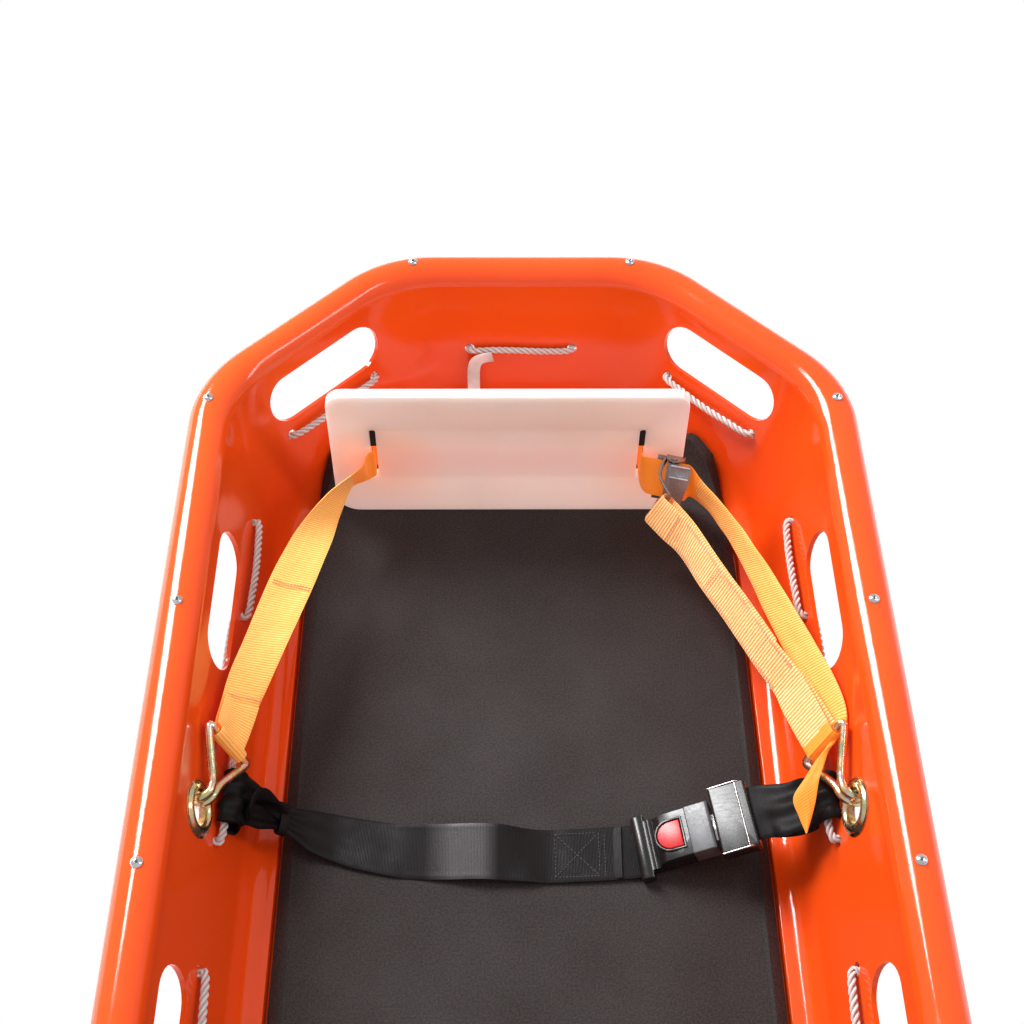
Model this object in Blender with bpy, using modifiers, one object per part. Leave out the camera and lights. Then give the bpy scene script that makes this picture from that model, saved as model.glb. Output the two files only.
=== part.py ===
"""Basket stretcher: moulded shell, rim tube, laced rope, footrest and three safety belts.

Metres, +Z up. +Y points to the foot end, +X to the right. The origin is the middle of the
underside. Pieces that repeat come from loops; the left half of a pair is the mirrored right.
"""
import math

import bmesh
import bpy
from mathutils import Matrix, Vector
from mathutils.bvhtree import BVHTree

NAME = "basket_stretcher"
GAP = 0.0003

# Shell
HALF_WIDTH = 0.320
HALF_LENGTH = 1.090
CHAMFER_TRIM = 0.175
CORNER_SUM = HALF_WIDTH + HALF_LENGTH - CHAMFER_TRIM
CORNER_RADIUS = 0.120
ARC_STEPS = 5
WALL = 0.0045
RIM_TOP = 0.190
RIM_RADIUS = 0.020
RIM_LIP = 0.0125
ARCH_STEPS = 6
WALL_LEAN = 0.26
BENCH_Z = 0.012
BENCH_INSET = 0.0985
LIP_RUN = 0.003
SIDE_FILLET = 0.016
END_FILLET = 0.045
FILLET_STEPS = 5

# Rim tube and its rivets
TUBE_RADIUS = 0.0125
TUBE_WALL = 0.0016
RIVET_SHANK = 0.0024
RIVET_HEAD = 0.0050
RIVET_HEAD_HEIGHT = 0.0024
RIVET_SIDE_Y = tuple(HALF_LENGTH * share for share in (0.8101, 0.5954, 0.3725, 0.1239))
RIVET_END_X = 0.1115

# Hand slots in the wall
SLOT_LENGTH = 0.142
SLOT_HEIGHT = 0.050
SLOT_Z = 0.1345
SIDE_SLOT_Y = (0.6312 * HALF_LENGTH, 0.2523 * HALF_LENGTH)

# Eyelets
EYE_Y = 0.4404 * HALF_LENGTH
EYE_Z = 0.1330
EYE_HOLE = 0.0140
EYE_FLANGE = 0.0242
EYE_SHEET = 0.0012

# Laced rope
ROPE_RADIUS = 0.0040
ROPE_HOLE = 0.0065
ROPE_Z = 0.096
ROPE_RUN = 0.1130
SIDE_RUN_Y = tuple(HALF_LENGTH * share for share in (0.6872, 0.4803, 0.2761, 0.0))
END_RUN = 0.108
END_ROPE_Z = 0.1020
ROPE_BOW = 0.0034

# Mat
MAT_THICKNESS = 0.0125
MAT_HALF_WIDTH = HALF_WIDTH - 0.1035
MAT_TRIM = ((0.105, 0.0565), (0.1254, 0.0390), (0.147, 0.0245), (0.169, 0.0125),
            (0.191, 0.0075), (0.210, 0.0050), (0.232, 0.0025), (0.260, 0.0010))
MAT_OUTLINE = tuple((HALF_LENGTH - back, MAT_HALF_WIDTH - side) for back, side in MAT_TRIM)
MAT_STRAIGHT_Y = (HALF_LENGTH - 0.290, HALF_LENGTH - 0.390, HALF_LENGTH * 0.32)
MAT_SHARES = (-1.0, -0.93, -0.86, -0.78, -0.40, 0.0, 0.40, 0.78, 0.86, 0.93, 1.0)
MAT_REACH = 0.0065
MAT_FLAT_X = MAT_HALF_WIDTH - 0.0335
MAT_BEND_CLEARANCE = 0.0006

# Footrest
PLATE_WIDTH = 0.351
PLATE_HEIGHT = 0.1736
PLATE_THICKNESS = 0.012
PLATE_RADIUS = 0.016
PLATE_FOOT_RADIUS = 0.024
PLATE_FRONT_Y = HALF_LENGTH - 0.2086
PLATE_X = -0.0148
PLATE_SLOT_SPREAD = PLATE_WIDTH / 2 - 0.0427
PLATE_SLOT_WIDTH = 0.006
PLATE_SLOT_HEIGHT = 0.072
PLATE_SLOT_Z = 0.107
STAY_WIDTH = 0.013
STAY_THICKNESS = 0.003

# Footrest webbing
STRAP_WIDTH = 0.038
STRAP_THICKNESS = 0.0016
STRAP_Z = 0.0945
# Ways of the webbing: shares of half the width, of hook to plate, of STRAP_Z, then the direction across
LEFT_WAY = ((-0.487, 0.949, 1.021, -0.05, -0.25, 0.95), (-0.525, 0.898, 1.069, -0.20, -0.36, 0.90),
            (-0.559, 0.845, 1.116, -0.32, -0.34, 0.87), (-0.595, 0.766, 1.164, -0.48, -0.12, 0.84),
            (-0.628, 0.671, 1.196, -0.58, 0.02, 0.79), (-0.682, 0.511, 1.249, -0.70, -0.05, 0.70),
            (-0.720, 0.360, 1.284, -0.76, 0.06, 0.65), (-0.758, 0.222, 1.320, -0.75, 0.12, 0.65),
            (-0.778, 0.104, 1.340, -0.64, 0.24, 0.73))
SEWN_WAY = ((0.741, 0.134, 1.312, 0.47, 0.20, 0.86), (0.719, 0.193, 1.296, 0.40, 0.13, 0.91),
            (0.672, 0.287, 1.254, 0.35, 0.12, 0.93), (0.612, 0.426, 1.195, 0.35, 0.10, 0.93),
            (0.548, 0.564, 1.131, 0.35, 0.10, 0.92), (0.494, 0.698, 1.042, 0.28, 0.16, 0.94),
            (0.453, 0.816, 1.026, 0.14, 0.40, 0.90), (0.428, 0.866, 1.095, 0.12, 0.48, 0.87))
BOW_WAY = ((0.537, 0.890, 1.042, 0.10, 0.30, 0.95), (0.562, 0.848, 1.101, 0.06, 0.14, 0.99),
           (0.594, 0.762, 1.217, 0.11, -0.04, 0.99), (0.645, 0.620, 1.333, 0.28, 0.08, 0.96),
           (0.698, 0.465, 1.460, 0.36, 0.06, 0.92), (0.745, 0.347, 1.508, 0.34, 0.04, 0.93),
           (0.781, 0.240, 1.513, 0.30, -0.04, 0.94), (0.809, 0.151, 1.534, 0.25, -0.20, 0.94))
TAIL_WAY = ((0.812, 0.081, 1.651, 0.42, -0.34, 0.84), (0.787, 0.016, 1.693, 0.50, -0.45, 0.75),
            (0.753, -0.052, 1.534, 0.30, -0.60, 0.74), (0.719, -0.102, 1.323, 0.25, -0.66, 0.71))

# Cam buckle of the footrest, in its own frame: x along the strap, y away from the basket's middle
CAM_ORIGIN = Vector((PLATE_X + PLATE_SLOT_SPREAD + 0.0302, PLATE_FRONT_Y - 0.0234, STRAP_Z + 0.0010))
CAM_TURN = Matrix.Rotation(math.radians(-14), 3, "Z") @ Matrix.Rotation(math.radians(-30), 3, "X")
CAM_SPAN = 0.046
CAM_CHEEK = 0.0016
CAM_PLATE_Y = 0.0027
CAM_PIN_AT = (-0.0005, -0.0090)
CAM_PIN = 0.0022
CAM_BARREL = 0.0058
CAM_BAR_AT = (-0.0185, -0.0140)
CAM_BAR = 0.0022
CAM_STRAP_Y = -0.0006

# Hooks
HOOK_WIRE = 0.0037
HOOK_BAR_AT = (HALF_WIDTH - 0.0675, EYE_Y + 0.0627, EYE_Z - 0.0040)
HOOK_BAR = 0.050
HOOK_BEND = 0.0125
HOOK_PAIR = 0.0078

# Belts
BELT_Y = (EYE_Y + 0.025, 0.0, -EYE_Y - 0.025)
BELT_WIDTH = 0.050
BELT_THICKNESS = 0.0014
BELT_ROPE_WIDTH = 0.034
BELT_NECK = (0.100 - HALF_WIDTH, 0.030)
BELT_PLAN = tuple((HALF_WIDTH * share, drift) for share, drift in (
    (-0.781, 0.000), (-0.625, 0.004), (-0.484, -0.002), (-0.3125, -0.010), (0.000, -0.0145),
    (0.156, -0.0135), (0.3125, -0.0105), (0.434, -0.005), (0.625, 0.002), (0.781, 0.000)))
BUCKLE_LENGTH = 0.056
BUCKLE_WIDTH = 0.044
BUCKLE_HEIGHT = 0.021
BUCKLE_X = HALF_WIDTH - 0.181
BUCKLE_Y = -0.005
BUCKLE_YAW = 8.0
BUCKLE_PITCH = -20.0
BUTTON_RADIUS = 0.0125
BUTTON_X = -0.0090
BEAM_X = -0.0385
BEAM_RADIUS = 0.0030
BLADE_WIDTH = 0.025
BLADE_THICKNESS = 0.0025
FRAME_SPAN = 0.064
FRAME_RUN = 0.034
CHEEK_HEIGHT = 0.015
BAR_BLOCK = (0.027, 0.0585, 0.0100)
BAR_BLOCK_Z = 0.0066

SEAT_Z = WALL
MAT_TOP = SEAT_Z + GAP + MAT_THICKNESS
RIM_Z = RIM_TOP - RIM_RADIUS
SQ2 = math.sqrt(2.0)


def clear_scene():
    for obj in list(bpy.data.objects):
        bpy.data.objects.remove(obj, do_unlink=True)


def collection(name):
    coll = bpy.data.collections.new(name)
    bpy.context.scene.collection.children.link(coll)
    return coll


def material(name, colour, roughness, metallic=0.0):
    mat = bpy.data.materials.get(name)
    if mat is None:
        mat = bpy.data.materials.new(name)
        mat.use_nodes = True
        shader = mat.node_tree.nodes["Principled BSDF"]
        shader.inputs["Base Color"].default_value = (*colour, 1.0)
        shader.inputs["Roughness"].default_value = roughness
        shader.inputs["Metallic"].default_value = metallic
    return mat


def place(name, data, mat, coll, parent=None, smooth=False):
    obj = bpy.data.objects.new(name, data)
    coll.objects.link(obj)
    obj.parent = parent
    if mat is not None:
        data.materials.append(mat)
    if smooth and obj.type == "MESH":
        data.shade_smooth()
        data.set_sharp_from_angle(angle=math.radians(35))
    return obj


def cutter(obj):
    obj.hide_render = True
    obj.display_type = "WIRE"
    return obj


def mesh_from(name, build):
    bm = bmesh.new()
    build(bm)
    mesh = bpy.data.meshes.new(name)
    bm.to_mesh(mesh)
    bm.free()
    return mesh


def box_mesh(name, size, centre=(0, 0, 0), bevel=0.0, segments=2):
    def build(bm):
        shape = Matrix.Translation(centre) @ Matrix.Diagonal((*size, 1.0))
        bmesh.ops.create_cube(bm, size=1.0, matrix=shape)
        if bevel > 0:
            bmesh.ops.bevel(bm, geom=list(bm.edges), offset=bevel, segments=segments,
                            affect="EDGES", profile=0.5)
    return mesh_from(name, build)


def rod_mesh(name, radius, length, sides, matrix=Matrix.Identity(4), tip=None):
    def build(bm):
        bmesh.ops.create_cone(bm, cap_ends=True, segments=sides, radius1=radius,
                              radius2=radius if tip is None else tip, depth=length, matrix=matrix)
    return mesh_from(name, build)


def frozen(obj, coll, mat):
    """Turn a curve or a stack of modifiers into a plain closed mesh object."""
    bpy.context.view_layer.update()
    graph = bpy.context.evaluated_depsgraph_get()
    mesh = bpy.data.meshes.new_from_object(obj.evaluated_get(graph))
    bm = bmesh.new()
    bm.from_mesh(mesh)
    bmesh.ops.remove_doubles(bm, verts=bm.verts, dist=0.00002)
    bmesh.ops.recalc_face_normals(bm, faces=bm.faces)
    bm.to_mesh(mesh)
    bm.free()
    name = obj.name
    world = obj.matrix_world.copy()
    parent = obj.parent
    bpy.data.objects.remove(obj, do_unlink=True)
    mesh.materials.clear()
    solid = place(name, mesh, mat, coll, parent)
    solid.matrix_world = world
    return solid


def boolean(obj, other, operation="DIFFERENCE"):
    mod = obj.modifiers.new(other.name, "BOOLEAN")
    mod.operation = operation
    mod.object = other
    mod.solver = "EXACT"
    cutter(other)


def wire(name, points, radius, mat, coll, cyclic=False, resolution=2, parent=None):
    curve = bpy.data.curves.new(name, "CURVE")
    curve.dimensions = "3D"
    curve.bevel_depth = radius
    curve.bevel_resolution = resolution
    curve.use_fill_caps = not cyclic
    spline = curve.splines.new("POLY")
    spline.points.add(len(points) - 1)
    for point, co in zip(spline.points, points):
        point.co = (*co, 1.0)
    spline.use_cyclic_u = cyclic
    return place(name, curve, mat, coll, parent)


def outline_plate(name, outline, depth, mat, coll, parent=None):
    """A flat closed outline in XY, extruded evenly to both sides of its plane."""
    curve = bpy.data.curves.new(name, "CURVE")
    curve.dimensions = "2D"
    curve.fill_mode = "BOTH"
    curve.extrude = depth / 2
    spline = curve.splines.new("POLY")
    spline.points.add(len(outline) - 1)
    for point, co in zip(spline.points, outline):
        point.co = (co[0], co[1], 0.0, 1.0)
    spline.use_cyclic_u = True
    return place(name, curve, mat, coll, parent)


def ribbon(name, stations, thickness, mat, coll, parent=None):
    """A woven strap: each station is its middle, its width and the direction across it."""
    verts = []
    for centre, width, across in stations:
        half = Vector(across).normalized() * width / 2
        verts.append(Vector(centre) - half)
        verts.append(Vector(centre) + half)
    faces = [(2 * i, 2 * i + 1, 2 * i + 3, 2 * i + 2) for i in range(len(stations) - 1)]
    mesh = bpy.data.meshes.new(name)
    mesh.from_pydata(verts, [], faces)
    obj = place(name, mesh, mat, coll, parent)
    solidify = obj.modifiers.new("thickness", "SOLIDIFY")
    solidify.thickness = thickness
    solidify.offset = 0.0
    solidify.use_even_offset = True
    return obj


def rounded_rectangle(width, height, radius, steps=4):
    outline = []
    for quadrant in range(4):
        start = quadrant * 90
        sx = 1 if quadrant in (0, 3) else -1
        sy = 1 if quadrant in (0, 1) else -1
        for k in range(steps + 1):
            angle = math.radians(start + 90 * k / steps)
            outline.append((sx * (width / 2 - radius) + radius * math.cos(angle),
                            sy * (height / 2 - radius) + radius * math.sin(angle)))
    return outline


def wall_inset(z):
    """How far the wall's inner face lies inside the rim's outer edge."""
    return 2 * RIM_RADIUS + WALL_LEAN * (RIM_Z - z)


def fillet_section(radius, floor_z, end_inset):
    """Wall foot, fillet, bench and lip, as (inset, z) from the rim downwards."""
    turn = math.radians(90) - math.atan(WALL_LEAN)
    corner = wall_inset(floor_z)
    centre = (corner + radius * math.tan(turn / 2), floor_z + radius)
    rows = []
    for k in range(FILLET_STEPS + 1):
        angle = math.radians(180) + math.atan(WALL_LEAN) + turn * k / FILLET_STEPS
        rows.append((centre[0] + radius * math.cos(angle), centre[1] + radius * math.sin(angle)))
    last = max(end_inset, rows[-1][0] + 0.001)
    rows += [(last, floor_z), (last + LIP_RUN, SEAT_Z)]
    return rows


def section(end_share):
    """The shell's visible section: rolled rim, wall, fillet, bench and lip."""
    rows = [(0.0, RIM_Z - RIM_LIP)]
    for k in range(ARCH_STEPS + 1):
        angle = math.pi - math.pi * k / ARCH_STEPS
        rows.append((RIM_RADIUS + RIM_RADIUS * math.cos(angle), RIM_Z + RIM_RADIUS * math.sin(angle)))
    side = fillet_section(SIDE_FILLET, BENCH_Z, BENCH_INSET)
    end = fillet_section(END_FILLET, SEAT_Z, 0.0)
    for (d0, z0), (d1, z1) in zip(side, end):
        rows.append((d0 + (d1 - d0) * end_share, z0 + (z1 - z0) * end_share))
    return rows


def column_point(corner, step, inset):
    """Plan position in the first quadrant: corner 0 joins side and chamfer, 1 chamfer and end."""
    reach = inset + CORNER_RADIUS
    if corner == 0:
        cx = HALF_WIDTH - reach
        cy = CORNER_SUM - SQ2 * reach - cx
    else:
        cy = HALF_LENGTH - reach
        cx = CORNER_SUM - SQ2 * reach - cy
    angle = math.radians(45) * (corner + step / ARC_STEPS)
    return cx + CORNER_RADIUS * math.cos(angle), cy + CORNER_RADIUS * math.sin(angle)


def ring_columns():
    """Every column round the shell as (sign x, sign y, corner, step), counter-clockwise."""
    quarter = [(corner, step) for corner in (0, 1) for step in range(ARC_STEPS + 1)]
    columns = []
    for sx, sy, flip in ((1, 1, False), (-1, 1, True), (-1, -1, False), (1, -1, True)):
        for corner, step in (reversed(quarter) if flip else quarter):
            columns.append((sx, sy, corner, step))
    return columns


def end_share(corner, step):
    if corner == 1:
        return 1.0
    t = step / ARC_STEPS
    return t * t * (3 - 2 * t)


def shell_surface():
    """The visible skin: one ring of points for each row of the section, and a flat floor."""
    columns = ring_columns()
    sections = [section(end_share(corner, step)) for _, _, corner, step in columns]
    rows = len(sections[0])
    verts = []
    for row in range(rows):
        for (sx, sy, corner, step), profile in zip(columns, sections):
            inset, z = profile[row]
            x, y = column_point(corner, step, inset)
            verts.append((sx * x, sy * y, z))
    count = len(columns)
    faces = []
    for row in range(rows - 1):
        for k in range(count):
            nxt = (k + 1) % count
            faces.append((row * count + k, row * count + nxt,
                          (row + 1) * count + nxt, (row + 1) * count + k))
    faces.append(tuple((rows - 1) * count + k for k in range(count)))
    return verts, faces


def wall_frame(side_y=None, chamfer=None, end_x=None, z=0.1, sx=1, sy=1):
    """Frame on the wall's inner face: x along the wall, y up it, z into the basket."""
    inset = wall_inset(z)
    if side_y is not None:
        point = Vector((sx * (HALF_WIDTH - inset), sy * side_y, z))
        inward = Vector((-sx, 0, 0))
    elif chamfer is not None:
        middle = Vector((HALF_WIDTH - (HALF_WIDTH + HALF_LENGTH - CORNER_SUM) / 2,
                         HALF_LENGTH - (HALF_WIDTH + HALF_LENGTH - CORNER_SUM) / 2, z))
        point = middle + Vector((1, -1, 0)) / SQ2 * chamfer - Vector((1, 1, 0)) / SQ2 * inset
        point = Vector((sx * point.x, sy * point.y, z))
        inward = Vector((-sx, -sy, 0)) / SQ2
    else:
        point = Vector((sx * end_x, sy * (HALF_LENGTH - inset), z))
        inward = Vector((0, -sy, 0))
    normal = (inward + Vector((0, 0, WALL_LEAN))).normalized()
    along = Vector((0, 0, 1)).cross(normal).normalized()
    up = normal.cross(along)
    frame = Matrix((along, up, normal)).transposed().to_4x4()
    frame.translation = point
    return frame


def wall_sites():
    """Frames of the hand slots, eyelets and rope holes."""
    slots, eyes, holes = [], [], []
    for sx in (1, -1):
        for sy in (1, -1):
            slots += [wall_frame(side_y=y, z=SLOT_Z, sx=sx, sy=sy) for y in SIDE_SLOT_Y]
            slots.append(wall_frame(chamfer=0.003, z=SLOT_Z, sx=sx, sy=sy))
            eyes.append(wall_frame(side_y=EYE_Y, z=EYE_Z, sx=sx, sy=sy))
    for kind, sx, sy, start, stop in rope_runs():
        for value in (start, stop):
            holes.append(wall_frame(z=rope_height(kind), sx=sx, sy=sy, **{kind: value}))
    return slots, eyes, holes


def rope_height(kind):
    return END_ROPE_Z if kind == "end_x" else ROPE_Z


def rope_runs():
    """The rope's runs on the inside of the wall, counter-clockwise from the right side."""
    half = ROPE_RUN / 2
    side = [y for y in reversed(SIDE_RUN_Y)]
    runs = []
    for y in side:
        runs.append(("side_y", 1, 1, y - half, y + half))
    runs.append(("chamfer", 1, 1, half + 0.004, -half + 0.004))
    runs.append(("end_x", 1, 1, END_RUN / 2, -END_RUN / 2))
    runs.append(("chamfer", -1, 1, -half + 0.004, half + 0.004))
    for y in SIDE_RUN_Y:
        runs.append(("side_y", -1, 1, y + half, y - half))
    for y in SIDE_RUN_Y[-2::-1]:
        runs.append(("side_y", -1, -1, y - half, y + half))
    runs.append(("chamfer", -1, -1, half + 0.004, -half + 0.004))
    runs.append(("end_x", -1, -1, END_RUN / 2, -END_RUN / 2))
    runs.append(("chamfer", 1, -1, -half + 0.004, half + 0.004))
    for y in SIDE_RUN_Y[:-1]:
        runs.append(("side_y", 1, -1, y + half, y - half))
    return runs


def slot_cutter(coll):
    outline = rounded_rectangle(SLOT_LENGTH, SLOT_HEIGHT, SLOT_HEIGHT / 2 - 0.0001, 5)
    return outline_plate("hand_slot_cutter", outline, 0.05, None, coll)


def joined(meshes_and_frames, name, coll):
    """One cutter object from many placed meshes that don't touch."""
    bm = bmesh.new()
    for mesh, frame in meshes_and_frames:
        start = len(bm.verts)
        bm.from_mesh(mesh)
        bm.verts.ensure_lookup_table()
        bmesh.ops.transform(bm, matrix=frame, verts=bm.verts[start:])
    mesh = bpy.data.meshes.new(name)
    bm.to_mesh(mesh)
    bm.free()
    return cutter(place(name, mesh, None, coll))


def rivet_places():
    places = [(sx * (HALF_WIDTH - RIM_RADIUS), sy * y) for sy in (1, -1) for sx in (1, -1)
              for y in RIVET_SIDE_Y]
    places += [(sx * RIVET_END_X, sy * (HALF_LENGTH - RIM_RADIUS)) for sy in (1, -1) for sx in (1, -1)]
    return places


def build_shell(parts, cutters, colour):
    verts, faces = shell_surface()
    mesh = bpy.data.meshes.new("shell")
    mesh.from_pydata(verts, [], faces)
    shell = place("shell", mesh, colour, parts, smooth=True)
    skin = BVHTree.FromPolygons([Vector(v) for v in verts], faces)
    solidify = shell.modifiers.new("wall", "SOLIDIFY")
    solidify.thickness = WALL
    solidify.offset = -1.0
    solidify.use_even_offset = True
    slots, eyes, holes = wall_sites()
    slot = frozen(slot_cutter(cutters), cutters, None)
    boolean(shell, joined([(slot.data, f) for f in slots], "hand_slots", cutters))
    bpy.data.objects.remove(slot, do_unlink=True)
    eye = rod_mesh("eye_hole", EYE_HOLE + EYE_SHEET + GAP, 0.04, 20)
    boolean(shell, joined([(eye, f) for f in eyes], "eye_holes", cutters))
    hole = rod_mesh("rope_hole", ROPE_HOLE, 0.03, 8)
    boolean(shell, joined([(hole, f) for f in holes], "rope_holes", cutters))
    floor = box_mesh("ground", (2.2, 2.4, 0.02), (0, 0, -0.01))
    boolean(shell, place("ground_cut", floor, None, cutters))
    rivet = rod_mesh("rivet_hole", RIVET_SHANK + GAP, 0.02, 8)
    tops = [(rivet, Matrix.Translation((x, y, RIM_TOP))) for x, y in rivet_places()]
    boolean(shell, joined(tops, "rivet_holes", cutters))
    return skin


def build_tube(parts, cutters, metal):
    height = RIM_TOP - WALL - GAP - TUBE_RADIUS
    route = []
    for sx, sy, corner, step in ring_columns():
        x, y = column_point(corner, step, RIM_RADIUS)
        route.append((sx * x, sy * y, height))
    tube = frozen(wire("rim_tube", route, TUBE_RADIUS, metal, parts, cyclic=True), parts, metal)
    bore = wire("rim_bore", route, TUBE_RADIUS - TUBE_WALL, None, cutters, cyclic=True)
    boolean(tube, frozen(bore, cutters, None))
    rivet = rod_mesh("tube_hole", RIVET_SHANK + GAP, 0.012, 8)
    tops = [(rivet, Matrix.Translation((x, y, height + TUBE_RADIUS))) for x, y in rivet_places()]
    boolean(tube, joined(tops, "tube_holes", cutters))


def build_rivets(parts, metal):
    """Domed blind rivets: head on the rim, shank through rim and tube wall."""
    depth = WALL + 2 * GAP + TUBE_WALL + 0.002
    mesh = bpy.data.meshes.new("rim_rivet")
    profile = ((0.0, RIVET_HEAD_HEIGHT), (RIVET_HEAD * 0.62, RIVET_HEAD_HEIGHT * 0.82),
               (RIVET_HEAD, 0.0), (RIVET_SHANK, 0.0), (RIVET_SHANK, -depth), (0.0, -depth))
    mesh.from_pydata([(r, 0, z) for r, z in profile], [(i, i + 1) for i in range(5)], [])
    for number, (x, y) in enumerate(rivet_places(), 1):
        rivet = place(f"rim_rivet_{number:02d}", mesh, None, parts)
        if not mesh.materials:
            mesh.materials.append(metal)
        rivet.location = (x, y, RIM_TOP + GAP)
        add_screw(rivet, 8)


def add_screw(obj, steps):
    screw = obj.modifiers.new("turn", "SCREW")
    screw.steps = steps
    screw.render_steps = steps
    screw.use_merge_vertices = True
    screw.merge_threshold = 0.00001
    screw.use_smooth_shade = True
    return screw


def build_eyelets(parts, metal):
    """Two rolled flanges joined by a barrel through the wall."""
    outer = EYE_HOLE + EYE_SHEET
    front = GAP
    back = -WALL - GAP
    rings = ((EYE_HOLE, front), (EYE_HOLE + 0.0012, front + 0.0018), (EYE_HOLE + 0.005, front + 0.0024),
             (EYE_FLANGE, front + EYE_SHEET), (EYE_FLANGE, front), (outer, front), (outer, back),
             (EYE_FLANGE - 0.003, back), (EYE_FLANGE - 0.003, back - EYE_SHEET),
             (EYE_HOLE + 0.003, back - 0.0020), (EYE_HOLE, back - 0.0008))
    mesh = bpy.data.meshes.new("eyelet")
    count = len(rings)
    mesh.from_pydata([(r, 0, z) for r, z in rings], [(i, (i + 1) % count) for i in range(count)], [])
    for number, frame in enumerate(wall_sites()[1], 1):
        eye = place(f"hoist_eyelet_{number}", mesh, None, parts)
        if not mesh.materials:
            mesh.materials.append(metal)
        eye.matrix_world = frame
        add_screw(eye, 20)


def build_rope(parts, white):
    """One rope laced through the wall: runs inside between pairs of holes, runs outside between."""
    inside = ROPE_RADIUS + GAP
    outside = -(WALL + ROPE_RADIUS + 2 * GAP)
    route = []
    for kind, sx, sy, start, stop in rope_runs():
        bow = ROPE_BOW / 3 if kind == "end_x" else ROPE_BOW
        height = rope_height(kind)
        if kind == "chamfer":
            route += corner_points(sx, sy, 0 if sx == sy else 1)
        for share, depth in ((0.0, outside), (0.0, inside), (0.25, inside + 0.8 * bow),
                             (0.5, inside + bow), (0.75, inside + 0.8 * bow),
                             (1.0, inside), (1.0, outside)):
            value = start + (stop - start) * share
            frame = wall_frame(z=height, sx=sx, sy=sy, **{kind: value})
            point = frame @ Vector((0, 0, depth))
            if share in (0.0, 1.0):
                middle = wall_frame(z=height, sx=sx, sy=sy, **{kind: (start + stop) / 2}).translation
                lead = (middle - frame.translation).normalized()
                point += lead * (0.0020 if depth == inside else -0.0025)
            route.append(point)
        if kind == "chamfer":
            route += corner_points(sx, sy, 1 if sx == sy else 0)
    wire("lacing_rope", route, ROPE_RADIUS, white, parts, cyclic=True, resolution=1)


def corner_points(sx, sy, corner):
    steps = range(1, ARC_STEPS)
    if sx != sy:
        steps = reversed(steps)
    inset = wall_inset(ROPE_Z) - (WALL + ROPE_RADIUS + 2 * GAP) * math.sqrt(1 + WALL_LEAN ** 2)
    points = []
    for step in steps:
        x, y = column_point(corner, step, inset - 0.0006)
        points.append(Vector((sx * x, sy * y, ROPE_Z)))
    return points


def build_mat(parts, foam, skin):
    """A foam sheet on the floor whose ends climb the end fillets."""
    rows = [(-y, w) for y, w in MAT_OUTLINE] + [(-y, MAT_HALF_WIDTH) for y in MAT_STRAIGHT_Y]
    rows += [(y, MAT_HALF_WIDTH) for y in reversed(MAT_STRAIGHT_Y)]
    rows += [(y, w) for y, w in reversed(MAT_OUTLINE)]
    verts, faces = [], []
    for y, half in rows:
        for share in MAT_SHARES:
            verts.append((half * share, y, mat_rest(skin, half * share, y)))
    stride = len(MAT_SHARES)
    for i in range(len(rows) - 1):
        for j in range(stride - 1):
            k = i * stride + j
            faces.append((k, k + 1, k + 1 + stride, k + stride))
    mesh = bpy.data.meshes.new("mat")
    mesh.from_pydata(verts, [], faces)
    mat = place("mat", mesh, foam, parts)
    solidify = mat.modifiers.new("thickness", "SOLIDIFY")
    solidify.thickness = MAT_THICKNESS
    solidify.offset = 1.0
    solidify.use_even_offset = True


def mat_rest(skin, x, y):
    """Height of the mat's underside: just off the floor, a little more where it bends up."""
    heights = []
    reach = MAT_REACH if abs(x) > MAT_FLAT_X else 0.0
    for dx, dy in ((0, 0), (reach, 0), (-reach, 0), (0, reach), (0, -reach)):
        heights.append(skin.ray_cast(Vector((x + dx, y + dy, 0.15)), Vector((0, 0, -1)))[0].z)
    rise = max(heights) - SEAT_Z
    return SEAT_Z + rise + GAP + (MAT_BEND_CLEARANCE if rise > 0.0001 else 0.0)


def build_plate(parts, cutters, white):
    outline = rounded_rectangle(PLATE_WIDTH, PLATE_HEIGHT, PLATE_RADIUS)[:10]
    outline += rounded_rectangle(PLATE_WIDTH, PLATE_HEIGHT, PLATE_FOOT_RADIUS)[10:]
    plate = outline_plate("footrest_plate", outline, PLATE_THICKNESS, white, parts)
    plate.location = (PLATE_X, PLATE_FRONT_Y + PLATE_THICKNESS / 2, MAT_TOP + GAP + PLATE_HEIGHT / 2)
    plate.rotation_euler = (math.radians(90), 0, 0)
    plate = frozen(plate, parts, white)
    slot = box_mesh("strap_slot", (PLATE_SLOT_WIDTH, 0.04, PLATE_SLOT_HEIGHT), bevel=0.0015, segments=1)
    places = [(slot, Matrix.Translation((PLATE_X + s * PLATE_SLOT_SPREAD, PLATE_FRONT_Y, PLATE_SLOT_Z)))
              for s in (-1, 1)]
    boolean(plate, joined(places, "strap_slots", cutters))
    return plate


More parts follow.
